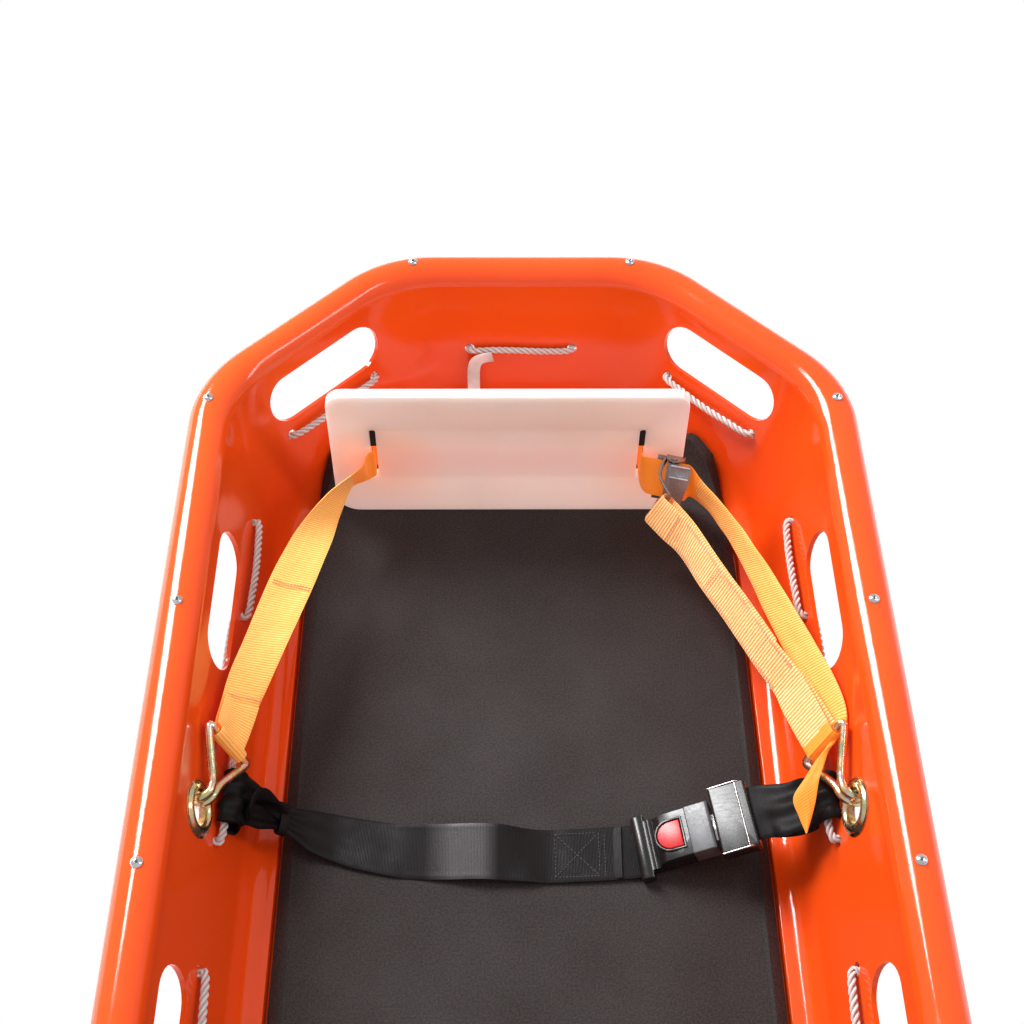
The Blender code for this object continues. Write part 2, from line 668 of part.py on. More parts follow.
def build_stay(parts, steel):
    """Flat stay: a flange on the plate's back, a run to the end wall, a bend up to the rope."""
    back = PLATE_FRONT_Y + PLATE_THICKNESS + GAP + STAY_THICKNESS / 2
    end = HALF_LENGTH
    route = [((-0.050, back, 0.072), (1, 0, 0)), ((-0.050, back, 0.052), (1, 0, 0)),
             ((-0.050, back + 0.006, 0.0445), (1, 0, 0)), ((-0.050, end - 0.100, 0.0440), (1, 0, 0)),
             ((-0.050, end - 0.086, 0.0500), (1, 0, 0)), ((-0.050, end - 0.0775, 0.0640), (1, 0, 0)),
             ((-0.0498, end - 0.0715, 0.0800), (1, 0, -0.1)), ((-0.0470, end - 0.0697, 0.0868), (1, 0, -0.6)),
             ((-0.0400, end - 0.0685, 0.0905), (0.6, 0, -1)), ((-0.0300, end - 0.0678, 0.0925), (0.2, 0, -1))]
    stations = [(c, STAY_WIDTH, a) for c, a in route]
    ribbon("footrest_stay", stations, STAY_THICKNESS, steel, parts)


def build_footrest_webbing(parts, orange):
    """Left run, the run behind the plate with both slots, and the sewn strap."""
    left_slot = PLATE_X - PLATE_SLOT_SPREAD
    right_slot = PLATE_X + PLATE_SLOT_SPREAD
    front = PLATE_FRONT_Y - 0.0030
    back = PLATE_FRONT_Y + PLATE_THICKNESS + GAP + STRAP_THICKNESS / 2 + 0.0012
    upright = (0, 0, 1)
    lean = CAM_TURN @ Vector((0, 0, 1))
    rear = [((left_slot - 0.004, front, STRAP_Z), upright), ((left_slot, front + 0.003, STRAP_Z), upright),
            ((left_slot, back - 0.003, STRAP_Z), upright), ((left_slot + 0.003, back, STRAP_Z), upright),
            ((right_slot - 0.003, back, STRAP_Z), upright), ((right_slot, back - 0.003, STRAP_Z), upright),
            ((right_slot, front + 0.001, STRAP_Z), upright),
            ((right_slot + 0.0010, front - 0.0070, STRAP_Z), (0.02, 0.12, 1)),
            ((right_slot + 0.0050, front - 0.0120, STRAP_Z), (0.08, 0.36, 0.93)),
            (cam_point(-0.0190, CAM_STRAP_Y), lean), (cam_point(0.0115, CAM_STRAP_Y), lean)]
    stations = [(c, STRAP_WIDTH, a) for c, a in rear]
    ribbon("footrest_strap_rear", stations, STRAP_THICKNESS, orange, parts)
    left = [((left_slot - 0.0050, front - 0.0008, STRAP_Z), upright),
            ((left_slot - 0.0076, front - 0.0030, STRAP_Z), upright)] + strap_way(LEFT_WAY)
    loop = strap_loop(hook_bar(-1), left[-1][0], hook_across(-1), HOOK_WIRE, STRAP_THICKNESS)
    stations = [(c, STRAP_WIDTH, a) for c, a in left] + [(c, STRAP_WIDTH * 0.9, a) for c, a in loop]
    ribbon("footrest_strap_left", stations, STRAP_THICKNESS, orange, parts)
    sewn = strap_way(SEWN_WAY)
    lean = CAM_TURN @ Vector((0, 0, 1))
    hook_loop = strap_loop(hook_bar(1), sewn[0][0], hook_across(1), HOOK_WIRE, 2 * STRAP_THICKNESS)
    cam_loop = strap_loop(cam_point(*CAM_BAR_AT), sewn[-1][0], lean, CAM_BAR, 2 * STRAP_THICKNESS)
    stations = [(c, STRAP_WIDTH, a) for c, a in reversed(cam_loop)]
    stations += [(c, STRAP_WIDTH, a) for c, a in reversed(sewn)]
    stations += [(c, STRAP_WIDTH * 0.9, a) for c, a in hook_loop]
    ribbon("footrest_strap_sewn", stations, 2 * STRAP_THICKNESS, orange, parts)


def strap_point(across, along, up):
    """A place on the webbing's way: shares of half the width, of hook to plate, and of the straps' height."""
    reach = PLATE_FRONT_Y - HOOK_BAR_AT[1]
    return Vector((across * HALF_WIDTH, HOOK_BAR_AT[1] + along * reach, up * STRAP_Z))


def strap_way(rows):
    """Stations from rows of (across, along, up, direction across the webbing)."""
    return [(strap_point(*row[:3]), row[3:]) for row in rows]


def hook_bar(side):
    """Middle of a hook's bar, in the strap's loop."""
    return Vector((side * HOOK_BAR_AT[0], *HOOK_BAR_AT[1:]))


def hook_across(side):
    """Direction along a hook's bar, pointing up."""
    return Vector((side * 0.50, 0.28, 0.82)).normalized()


def cam_point(x, y):
    """A point of the cam buckle's own frame, at the strap's middle height."""
    return CAM_ORIGIN + CAM_TURN @ Vector((x, y, 0))


def strap_loop(bar, last, across, bar_radius, thickness):
    """The strap's end goes once round a bar and stops short of itself."""
    bar = Vector(bar)
    run = (Vector(last) - bar)
    side = Vector(across).normalized()
    run = (run - side * run.dot(side)).normalized()
    out = side.cross(run)
    radius = (bar_radius + GAP + thickness / 2) / math.cos(math.radians(22.5)) + GAP
    stations = []
    for degrees in (75, 120, 165, 210, 255, 300):
        angle = math.radians(degrees)
        stations.append((bar + run * radius * math.cos(angle) + out * radius * math.sin(angle), across))
    return stations


def build_free_strap(parts, orange):
    """The webbing beyond the cam: a slack bow to the hook, over its bar, and a hanging tail."""
    lean = CAM_TURN @ Vector((0, 0, 1))
    bow = [(cam_point(0.0115 + GAP, CAM_STRAP_Y), lean), (cam_point(0.0150, CAM_STRAP_Y - 0.0012), lean)]
    bow += strap_way(BOW_WAY)
    tail = strap_way(TAIL_WAY)
    stations = [(c, STRAP_WIDTH, a) for c, a in bow]
    stations += [(c, STRAP_WIDTH * w, a) for (c, a), w in zip(tail, (0.8, 0.6, 0.7, 0.8))]
    ribbon("footrest_strap_free", stations, STRAP_THICKNESS, orange, parts)


def build_hook(parts, metal, side, name):
    """A double hook of one bent wire: bar in the strap's loop, two legs, two curls in the eyelet."""
    frame = wall_frame(side_y=EYE_Y, z=EYE_Z, sx=side)
    normal = frame.to_3x3() @ Vector((0, 0, 1))
    centre = frame.translation - normal * WALL / 2
    bar = hook_bar(side)
    run = bar - centre
    run = (run - normal * run.dot(normal)).normalized()
    across = normal.cross(run)
    if across.z < 0:
        across = -across
    seat = math.sqrt((EYE_HOLE - 6 * GAP - HOOK_WIRE) ** 2 - (HOOK_PAIR / 2) ** 2)
    bend = centre + run * (seat + HOOK_BEND)
    half = []
    for degrees in (288, 264, 240, 216, 192, 168, 144, 120, 96):
        angle = math.radians(degrees)
        half.append(bend + run * HOOK_BEND * math.cos(angle) + normal * HOOK_BEND * math.sin(angle))
    legs = []
    for sign in (-1, 1):
        pair = across * (sign * HOOK_PAIR / 2)
        end = hook_across(side) * (sign * HOOK_BAR / 2)
        leg = [p + pair for p in half]
        leg.append(leg[-1].lerp(bar + end, 0.25) - end * 0.08)
        leg.append(bar + end - (bar - bend).normalized() * 0.004)
        leg.append(bar + end * 0.82)
        legs.append(leg)
    wire(name, legs[0] + legs[1][::-1], HOOK_WIRE, metal, parts, resolution=2)
    return bar


def build_cam_buckle(parts, cutters, steel, dark):
    """Cheeks with a back plate and a strap bar, a pin, and the toothed lever that turns on it."""
    holder = bpy.data.objects.new("cam_buckle", None)
    parts.objects.link(holder)
    holder.matrix_world = Matrix.Translation(CAM_ORIGIN) @ CAM_TURN.to_4x4()
    cheek = ((-0.0175, 0.0035), (0.0100, 0.0035), (0.0100, -0.0040), (0.0040, -0.0135),
             (-0.0050, -0.0140), (-0.0160, -0.0180), (-0.0205, -0.0170), (-0.0220, -0.0130))
    frame = box_mesh("back", (0.0275, 0.0016, CAM_SPAN), (-0.00375, CAM_PLATE_Y, 0))
    frame = place("cam_buckle_frame", frame, steel, parts, holder)
    for sign in (-1, 1):
        plate = outline_plate("cheek", cheek, CAM_CHEEK, None, cutters, holder)
        plate.location = (0, 0, sign * (CAM_SPAN / 2 + CAM_CHEEK / 2 - 0.0002))
        boolean(frame, frozen(plate, cutters, None), "UNION")
    bar_at = Matrix.Translation((*CAM_BAR_AT, 0))
    bar = rod_mesh("bar", CAM_BAR, CAM_SPAN + 2 * CAM_CHEEK - 0.001, 10, bar_at)
    boolean(frame, place("strap_bar", bar, None, cutters, holder), "UNION")
    pin_at = Matrix.Translation((*CAM_PIN_AT, 0))
    hole = rod_mesh("pin_hole", CAM_PIN + GAP, CAM_SPAN + 0.02, 10, pin_at)
    boolean(frame, place("cam_pin_hole", hole, None, cutters, holder))
    pin = rod_mesh("pin", CAM_PIN, CAM_SPAN + 2 * CAM_CHEEK + 0.002, 10, pin_at)
    place("cam_buckle_pin", pin, steel, parts, holder, smooth=True)
    pivot = bpy.data.objects.new("cam_lever_pivot", None)
    parts.objects.link(pivot)
    pivot.parent = holder
    pivot.location = pin_at.translation
    height = CAM_SPAN - 0.004
    lever = rod_mesh("lever", CAM_BARREL, height, 16)
    lever = place("cam_buckle_lever", lever, dark, parts, pivot)
    half = height / 2
    tab = ((-0.003, half), (0.018, half), (0.018, half * 0.2), (0.013, -half), (0.000, -half),
           (-0.003, half * 0.2))
    tab = outline_plate("lever_tab", tab, 0.0018, None, cutters, pivot)
    tab.rotation_euler = (math.radians(90), 0, 0)
    tab.location = (0, -0.0048, 0)
    boolean(lever, frozen(tab, cutters, None), "UNION")
    bore = rod_mesh("lever_bore", CAM_PIN + GAP, height + 0.01, 10)
    boolean(lever, place("lever_bore", bore, None, cutters, pivot))


def wrap(centre, radius, start, stop, steps):
    """Points round a centre in the XZ plane, angles in degrees from +X towards +Z."""
    points = []
    for k in range(steps + 1):
        angle = math.radians(start + (stop - start) * k / steps)
        points.append((centre[0] + radius * math.cos(angle), centre[1] + radius * math.sin(angle)))
    return points


def belt_rope_point():
    """Middle of the rope's inside run at a belt, as (x, z) on the right side."""
    frame = wall_frame(side_y=0.0, z=ROPE_Z)
    point = frame @ Vector((0, 0, ROPE_RADIUS + GAP + ROPE_BOW))
    return point.x, point.z


def buckle_frame_matrix():
    turn = Matrix.Rotation(math.radians(BUCKLE_YAW), 4, "Z")
    turn = turn @ Matrix.Rotation(math.radians(BUCKLE_PITCH), 4, "Y")
    slope = math.radians(-BUCKLE_PITCH)
    rise = BUCKLE_HEIGHT / 2 * math.cos(slope) + BUCKLE_LENGTH / 2 * math.sin(slope) + 0.0012
    return Matrix.Translation((BUCKLE_X, BUCKLE_Y, MAT_TOP + GAP + rise)) @ turn


def build_belt(parts, cutters, number, y, looks):
    belt = bpy.data.objects.new(f"belt_{number}", None)
    parts.objects.link(belt)
    belt.location = (0, y, 0)
    prefix = f"belt_{number}_"
    buckle = bpy.data.objects.new(prefix + "buckle_frame", None)
    parts.objects.link(buckle)
    buckle.parent = belt
    buckle.matrix_local = buckle_frame_matrix()
    build_housing(parts, cutters, prefix, buckle, looks)
    build_tongue(parts, cutters, prefix, buckle, looks)
    build_belt_webbing(parts, prefix, belt, looks)


def build_housing(parts, cutters, prefix, frame, looks):
    body = box_mesh("housing", (BUCKLE_LENGTH, BUCKLE_WIDTH, BUCKLE_HEIGHT), bevel=0.004)
    housing = place(prefix + "buckle_housing", body, looks["plastic"], parts, frame, smooth=True)
    for sign in (-1, 1):
        arm = box_mesh("arm", (0.020, 0.004, 0.009), (-0.0325, sign * 0.0285, 0), bevel=0.001, segments=1)
        boolean(housing, place(prefix + f"arm_{sign}", arm, None, cutters, frame), "UNION")
        neck = box_mesh("neck", (0.008, 0.012, 0.009), (-0.0250, sign * 0.0240, 0))
        boolean(housing, place(prefix + f"neck_{sign}", neck, None, cutters, frame), "UNION")
    beam_at = Matrix.Translation((BEAM_X, 0, 0)) @ Matrix.Rotation(math.radians(90), 4, "X")
    beam = rod_mesh("beam", BEAM_RADIUS, 0.0590, 10, beam_at)
    boolean(housing, place(prefix + "beam", beam, None, cutters, frame), "UNION")
    slot = box_mesh("blade_slot", (0.040, BLADE_WIDTH + 2 * GAP, BLADE_THICKNESS + 2 * GAP),
                    (BUCKLE_LENGTH / 2 - 0.0100, 0, 0))
    boolean(housing, place(prefix + "blade_slot", slot, None, cutters, frame))
    outline = button_outline(GAP)
    pocket = outline_plate(prefix + "pocket", outline, 0.016, None, cutters, frame)
    pocket.location = (BUTTON_X, 0, BUCKLE_HEIGHT / 2)
    boolean(housing, frozen(pocket, cutters, None))
    button = outline_plate(prefix + "release_button", button_outline(0.0), 0.0057, looks["red"], parts, frame)
    button.location = (BUTTON_X, 0, BUCKLE_HEIGHT / 2 - 0.0021)
    frozen(button, parts, looks["red"])


def button_outline(extra):
    """D shape: round to the left, flat to the right."""
    radius = BUTTON_RADIUS + extra
    outline = [(0.0095 + extra, -radius), (0.0095 + extra, radius)]
    for k in range(9):
        angle = math.radians(90 + 180 * k / 8)
        outline.append((radius * math.cos(angle), radius * math.sin(angle)))
    return outline


def build_tongue(parts, cutters, prefix, frame, looks):
    inner = 0.030
    blade = box_mesh("blade", (inner + 0.004, BLADE_WIDTH, BLADE_THICKNESS),
                     (BUCKLE_LENGTH / 2 - inner / 2 + 0.0035, 0, 0))
    tongue = place(prefix + "latch_tongue", blade, looks["steel"], parts, frame)
    start = BUCKLE_LENGTH / 2 + 0.0030
    middle = start + FRAME_RUN / 2
    base = box_mesh("base", (FRAME_RUN, FRAME_SPAN, BLADE_THICKNESS), (middle, 0, 0))
    boolean(tongue, place(prefix + "tongue_base", base, None, cutters, frame), "UNION")
    for sign in (-1, 1):
        cheek = box_mesh("cheek", (FRAME_RUN, 0.0022, CHEEK_HEIGHT),
                         (middle, sign * (FRAME_SPAN / 2 - 0.0011), CHEEK_HEIGHT / 2 - BLADE_THICKNESS / 2))
        boolean(tongue, place(prefix + f"cheek_{sign}", cheek, None, cutters, frame), "UNION")
    window = box_mesh("window", (0.024, 0.053, 0.02), (middle, 0, 0))
    boolean(tongue, place(prefix + "tongue_window", window, None, cutters, frame))
    bar = box_mesh("slide_bar", BAR_BLOCK, (middle, 0, BAR_BLOCK_Z), bevel=0.0015, segments=1)
    place(prefix + "slide_bar", bar, looks["plastic"], parts, frame)


def build_belt_webbing(parts, prefix, belt, looks):
    rope_x, rope_z = belt_rope_point()
    eye = 0.0108
    shift = eye - (ROPE_RADIUS + GAP + BELT_THICKNESS / 2 + 0.0012)
    flat = MAT_TOP + GAP + BELT_THICKNESS / 2
    frame = buckle_frame_matrix()
    beam = frame @ Vector((BEAM_X, 0, 0))
    ply = BELT_THICKNESS + 0.0008
    around_rope = wrap((-rope_x + shift, rope_z), eye, -75, 190, 8)
    side = HALF_WIDTH
    main = [(0.090 - side, 0.0680), (0.105 - side, 0.0460), (0.127 - side, 0.0290),
            (0.155 - side, flat + 0.0035), (0.200 - side, flat + 0.0015),
            (0.250 - side, flat + 0.0058), (0.285 - side, flat + 0.0110),
            (0.315 - side, flat + 0.0062), (BUCKLE_X - 0.109, flat), (BUCKLE_X - 0.069, flat)]
    loop = wrap((beam.x, beam.z), BEAM_RADIUS + GAP + BELT_THICKNESS / 2 + 0.0004, -80, 100, 5)
    back = [(BUCKLE_X - 0.061, flat + 2.2 * ply), (BUCKLE_X - 0.079, flat + ply),
            (BUCKLE_X - 0.104, flat + ply)]
    path = list(reversed(around_rope)) + main + loop + back
    stations = []
    yaw = -math.tan(math.radians(BUCKLE_YAW))
    for x, z in path:
        across = (yaw if x > BUCKLE_X - 0.089 else 0.0, 1.0, belt_tilt(x))
        stations.append(((x, belt_drift(x), z), belt_width(x), across))
    ribbon(prefix + "webbing_left", stations, BELT_THICKNESS, looks["web"], parts, belt)
    middle = BUCKLE_LENGTH / 2 + 0.0030 + FRAME_RUN / 2
    edge = frame @ Vector((middle + BAR_BLOCK[0] / 2 + 0.0006, 0, BAR_BLOCK_Z))
    right_start = [(edge.x, edge.z), (edge.x + 0.010, edge.z + 0.0040),
                   (side - 0.097, 0.0745), (side - 0.087, 0.0815)]
    around = wrap((rope_x - shift, rope_z), eye, 225, 15, 8)
    stations = []
    for x, z in right_start + around:
        across = (yaw if x < edge.x + 0.015 else 0.0, 1.0, 0.0)
        stations.append(((x, belt_drift(x), z), belt_width(x), across))
    ribbon(prefix + "webbing_right", stations, BELT_THICKNESS, looks["web"], parts, belt)


def belt_drift(x):
    """The belt bows a little in plan between its two hitches."""
    for (x0, y0), (x1, y1) in zip(BELT_PLAN, BELT_PLAN[1:]):
        if x <= x1:
            return y0 + (y1 - y0) * max(x - x0, 0.0) / (x1 - x0)
    return BELT_PLAN[-1][1]


def belt_width(x):
    """Full width in the middle, gathered where it is hitched to the rope."""
    share = min(max((HALF_WIDTH - 0.0750 - abs(x)) / 0.045, 0.0), 1.0)
    width = BELT_ROPE_WIDTH + (BELT_WIDTH - BELT_ROPE_WIDTH) * share
    near = max(1 - abs(x - BELT_NECK[0]) / 0.028, 0.0)
    return width + (BELT_NECK[1] - width) * near


def belt_tilt(x):
    return 0.16 if 0.200 - HALF_WIDTH < x < BUCKLE_X - 0.139 else 0.0


def build():
    clear_scene()
    parts = collection(NAME)
    cutters = collection(NAME + "_cutters")
    shell = material("orange_shell", (0.90, 0.13, 0.02), 0.22)
    tube = material("tube_metal", (0.70, 0.71, 0.72), 0.35, 1.0)
    rivet = material("rivet_metal", (0.75, 0.75, 0.76), 0.25, 1.0)
    plated = material("gold_plated", (0.72, 0.55, 0.30), 0.25, 1.0)
    rope = material("white_rope", (0.86, 0.84, 0.84), 0.7)
    foam = material("dark_foam", (0.06, 0.05, 0.048), 0.9)
    plate = material("milky_plate", (0.85, 0.82, 0.80), 0.35)
    strap = material("orange_webbing", (1.0, 0.42, 0.05), 0.7)
    steel = material("bright_steel", (0.78, 0.79, 0.80), 0.22, 1.0)
    looks = {"plastic": material("black_plastic", (0.02, 0.02, 0.022), 0.3),
             "red": material("red_button", (0.80, 0.03, 0.03), 0.3),
             "steel": steel, "web": material("black_webbing", (0.02, 0.02, 0.022), 0.6)}
    skin = build_shell(parts, cutters, shell)
    build_tube(parts, cutters, tube)
    build_rivets(parts, rivet)
    build_eyelets(parts, plated)
    build_rope(parts, rope)
    build_mat(parts, foam, skin)
    build_plate(parts, cutters, plate)
    build_stay(parts, tube)
    build_footrest_webbing(parts, strap)
    build_free_strap(parts, strap)
    build_hook(parts, plated, -1, "hook_left")
    build_hook(parts, plated, 1, "hook_right")
    build_cam_buckle(parts, cutters, steel, steel)
    for number, y in enumerate(BELT_Y, 1):
        build_belt(parts, cutters, number, y, looks)
    bpy.context.view_layer.update()


build()
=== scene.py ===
"""Basket stretcher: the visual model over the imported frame."""
import math

import bmesh
import bpy
from mathutils import Matrix, Vector, noise
from mathutils.bvhtree import BVHTree


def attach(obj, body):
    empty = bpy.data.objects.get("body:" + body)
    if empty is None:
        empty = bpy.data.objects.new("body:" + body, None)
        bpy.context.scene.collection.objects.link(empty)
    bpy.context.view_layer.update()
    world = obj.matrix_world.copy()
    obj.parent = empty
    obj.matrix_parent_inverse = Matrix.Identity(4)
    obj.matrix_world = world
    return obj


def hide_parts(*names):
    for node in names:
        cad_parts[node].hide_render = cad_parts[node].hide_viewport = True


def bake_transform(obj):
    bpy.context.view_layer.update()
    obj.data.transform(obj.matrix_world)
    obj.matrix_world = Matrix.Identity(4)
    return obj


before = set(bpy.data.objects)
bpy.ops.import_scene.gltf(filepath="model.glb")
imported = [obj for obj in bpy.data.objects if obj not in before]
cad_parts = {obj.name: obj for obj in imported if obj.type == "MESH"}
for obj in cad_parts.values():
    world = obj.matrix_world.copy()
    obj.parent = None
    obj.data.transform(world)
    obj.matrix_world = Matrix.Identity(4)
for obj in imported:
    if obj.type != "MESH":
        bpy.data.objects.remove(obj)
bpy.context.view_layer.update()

HALF_WIDTH = 0.32
HALF_LENGTH = 1.09
CORNER_SUM = 1.235
CORNER_RADIUS = 0.12
WALL = 0.0045
RIM_TOP = 0.19
RIM_RADIUS = 0.02
RIM_LIP = 0.0125
RIM_Z = RIM_TOP - RIM_RADIUS
WALL_LEAN = 0.26
BENCH_Z = 0.012
BENCH_INSET = 0.0985
LIP_RUN = 0.003
SIDE_FILLET = 0.016
END_FILLET = 0.045
SEAT_Z = WALL
SLOT_LENGTH = 0.142
SLOT_HEIGHT = 0.05
SLOT_Z = 0.1345
SIDE_SLOT_Y = (0.688, 0.275)
EYE_Y = 0.48
EYE_Z = 0.133
EYE_HOLE = 0.014
EYE_FLANGE = 0.0242
ROPE_RADIUS = 0.004
ROPE_HOLE = 0.0065
ROPE_Z = 0.096
ROPE_RUN = 0.113
SIDE_RUN_Y = (0.749, 0.5235, 0.301, 0.0)
END_RUN = 0.108
END_ROPE_Z = 0.102
ROPE_BOW = 0.0034
RIVET_SIDE_Y = (0.883, 0.649, 0.406, 0.135)
RIVET_END_X = 0.1115
RIVET_HEAD = 0.0048
RIVET_SHANK = 0.0024
TUBE_RADIUS = 0.0125
MAT_TOP = 0.0173
MAT_THICKNESS = 0.0125
MAT_HALF_WIDTH = 0.2165
MAT_OUTLINE = ((0.97, 0.15), (0.96, 0.17), (0.945, 0.186), (0.928, 0.2), (0.913, 0.207),
               (0.897, 0.21), (0.88, 0.2122), (0.858, 0.2142), (0.83, 0.2155), (0.8, 0.2165))
PLATE_WIDTH = 0.351
PLATE_HEIGHT = 0.1736
PLATE_THICKNESS = 0.012
PLATE_FRONT_Y = 0.8814
PLATE_X = -0.0148
PLATE_SLOT_SPREAD = 0.1328
PLATE_SLOT_Z = 0.107
STRAP_WIDTH = 0.038
STRAP_THICKNESS = 0.0016
STRAP_Z = 0.0945
STRAP_FRONT = PLATE_FRONT_Y - 0.003
STAY_WIDTH = 0.013
GAP = 0.0003
SQ2 = math.sqrt(2.0)
TURN = 2 * math.pi
HERE = Matrix.Identity(4)
STOOD = Matrix.Rotation(math.radians(90), 4, "X")
CORNERS = ((1, 1), (1, -1), (-1, 1), (-1, -1))
WEAVE_STEP = 0.0018
YARN_PITCH = 0.0012
BASE = "shell_body"
CAM_ORIGIN = Vector((0.1482, 0.858, 0.0955))
CAM_TURN = Matrix.Rotation(math.radians(-14), 3, "Z") @ Matrix.Rotation(math.radians(-30), 3, "X")
CAM_SPAN = 0.046
CAM_PIN_AT = (-0.0005, -0.009)
CAM_STRAP_Y = -0.0006
CAM_LEAN = CAM_TURN @ Vector((0, 0, 1))
CAM_PLACE = Matrix.Translation(CAM_ORIGIN) @ CAM_TURN.to_4x4()
CAM_PIN = Matrix.Translation((*CAM_PIN_AT, 0))
CAM_BAR = Vector((0.1335, 0.8225, 0.093))
CAM_BAR_ALONG = Vector((0.44, 0.12, 0.89)).normalized()
CAM_BAR_ROOM = 0.0034
HOOK_WIRE = 0.0037
HOOK_BAR_AT = (0.2525, 0.5427, 0.129)
HOOK_BAR = 0.05
HOOK_BEND = 0.0125
HOOK_PAIR = 0.0078
BELT_Y = (0.505, 0.0, -0.505)
BELT_THICKNESS = 0.0014
BELT_PLAN = ((-0.25, 0.0), (-0.2, 0.004), (-0.155, -0.002), (-0.1, -0.01), (0.0, -0.0145),
             (0.05, -0.0135), (0.1, -0.0105), (0.139, -0.005), (0.2, 0.002), (0.25, 0.0))
BUCKLE_LENGTH = 0.056
BUCKLE_WIDTH = 0.044
BUCKLE_HEIGHT = 0.021
BUCKLE_X = 0.139
BUCKLE_Y = -0.005
BUTTON_RADIUS = 0.0125
BUTTON_X = -0.009
BEAM_X = -0.0385
BEAM_RADIUS = 0.003
FRAME_SPAN = 0.064
FRAME_RUN = 0.034
ADJUSTER_X = BUCKLE_LENGTH / 2 + 0.003 + FRAME_RUN / 2
BUCKLE_YAW = math.radians(8.0)
BUCKLE_SLOPE = math.radians(20.0)
BUCKLE_RISE = BUCKLE_HEIGHT / 2 * math.cos(BUCKLE_SLOPE) + BUCKLE_LENGTH / 2 * math.sin(BUCKLE_SLOPE) + 0.0012
BUCKLE_AT = (Matrix.Translation((BUCKLE_X, BUCKLE_Y, MAT_TOP + GAP + BUCKLE_RISE))
             @ Matrix.Rotation(BUCKLE_YAW, 4, "Z") @ Matrix.Rotation(-BUCKLE_SLOPE, 4, "Y"))
BELT_ACROSS = (-math.tan(BUCKLE_YAW), 1, 0)
BELT_FLAT = MAT_TOP + GAP + BELT_THICKNESS / 2
CAMERA_AT = (-0.0228, -0.11, 1.2872)
CAMERA_AIM = (0.00805, 0.6143, -0.789)
CAMERA_ROLL = 0.009
LENS = 54.4
WORLD_LIGHT = 0.6
KEY_POWER = 205
FILL_POWER = 24

scene = bpy.context.scene
visual = bpy.data.collections.new("visual")
scene.collection.children.link(visual)


# ---- camera, floor and light

def aim(obj, location, forward, roll=0.0):
    forward = Vector(forward).normalized()
    turn = forward.to_track_quat("-Z", "Y").to_matrix().to_4x4()
    obj.matrix_world = Matrix.Translation(location) @ turn @ Matrix.Rotation(roll, 4, "Z")


def build_camera():
    data = bpy.data.cameras.new("camera")
    data.lens = LENS
    data.sensor_width = 36.0
    data.clip_end = 50
    camera = bpy.data.objects.new("camera", data)
    scene.collection.objects.link(camera)
    aim(camera, CAMERA_AT, CAMERA_AIM, CAMERA_ROLL)
    scene.camera = camera


def area_light(name, location, target, size, power):
    data = bpy.data.lights.new(name, "AREA")
    data.shape = "RECTANGLE"
    data.size, data.size_y = size
    data.energy = power
    light = bpy.data.objects.new(name, data)
    scene.collection.objects.link(light)
    aim(light, location, Vector(target) - Vector(location))


def build_stage():
    mesh = bpy.data.meshes.new("floor")
    mesh.from_pydata([(-9, -9, -0.0005), (9, -9, -0.0005), (9, 9, -0.0005), (-9, 9, -0.0005)], [], [(0, 1, 2, 3)])
    floor = bpy.data.objects.new("floor", mesh)
    scene.collection.objects.link(floor)
    mat, tree, shader = look("floor_white", (0.93, 0.93, 0.93), 0.9)
    path = node(tree, "ShaderNodeLightPath")
    glow = node(tree, "ShaderNodeEmission", {"Color": (1, 1, 1, 1), "Strength": 1.0})
    mix = node(tree, "ShaderNodeMixShader", {0: path.outputs["Is Camera Ray"], 1: shader.outputs[0],
                                             2: glow.outputs[0]})
    tree.links.new(mix.outputs[0], tree.nodes["Material Output"].inputs["Surface"])
    mesh.materials.append(mat)
    world = bpy.data.worlds.new("studio")
    scene.world = world
    world.use_nodes = True
    fill(world.node_tree.nodes["Background"], {"Color": (1, 1, 1, 1), "Strength": WORLD_LIGHT})
    area_light("key", (-1.9, 2.6, 2.6), (0, 0.2, 0.1), (1.0, 2.4), KEY_POWER)
    area_light("fill", (2.4, 0.6, 2.6), (0, 0, 0.1), (0.35, 2.6), FILL_POWER)
    scene.view_settings.view_transform = "Standard"


# ---- materials

def fill(new, inputs):
    """Set a node's inputs to values, or link them to sockets."""
    for key, value in inputs.items():
        if isinstance(value, bpy.types.NodeSocket):
            new.id_data.links.new(value, new.inputs[key])
        else:
            new.inputs[key].default_value = value
    return new


def node(tree, kind, inputs=None, **settings):
    new = tree.nodes.new(kind)
    for key, value in settings.items():
        setattr(new, key, value)
    return fill(new, inputs or {})


def look(name, colour, roughness, metallic=0.0):
    """A new material with its node tree and its shader."""
    mat = bpy.data.materials.new(name)
    mat.use_nodes = True
    shader = mat.node_tree.nodes["Principled BSDF"]
    fill(shader, {"Base Color": (*colour, 1.0), "Roughness": roughness, "Metallic": metallic})
    return mat, mat.node_tree, shader


def maths(tree, operation, first, second=None):
    inputs = {0: first} if second is None else {0: first, 1: second}
    return node(tree, "ShaderNodeMath", inputs, operation=operation).outputs[0]


def mixed(tree, share, first, second, blend="MIX"):
    """Two colours or colour sockets, mixed by a share."""
    ends = {k: c if isinstance(c, bpy.types.NodeSocket) else (*c, 1) for k, c in ((6, first), (7, second))}
    return node(tree, "ShaderNodeMix", {0: share, **ends}, data_type="RGBA", blend_type=blend).outputs[2]


def ramp(tree, value, low, high, ends):
    """A colour or number that goes from the first end to the second as value goes from low to high."""
    if isinstance(ends[0], float):
        return node(tree, "ShaderNodeMapRange", {"Value": value, "From Min": low, "From Max": high,
                                                 "To Min": ends[0], "To Max": ends[1]}).outputs[0]
    return mixed(tree, ramp(tree, value, low, high, (0.0, 1.0)), *ends)


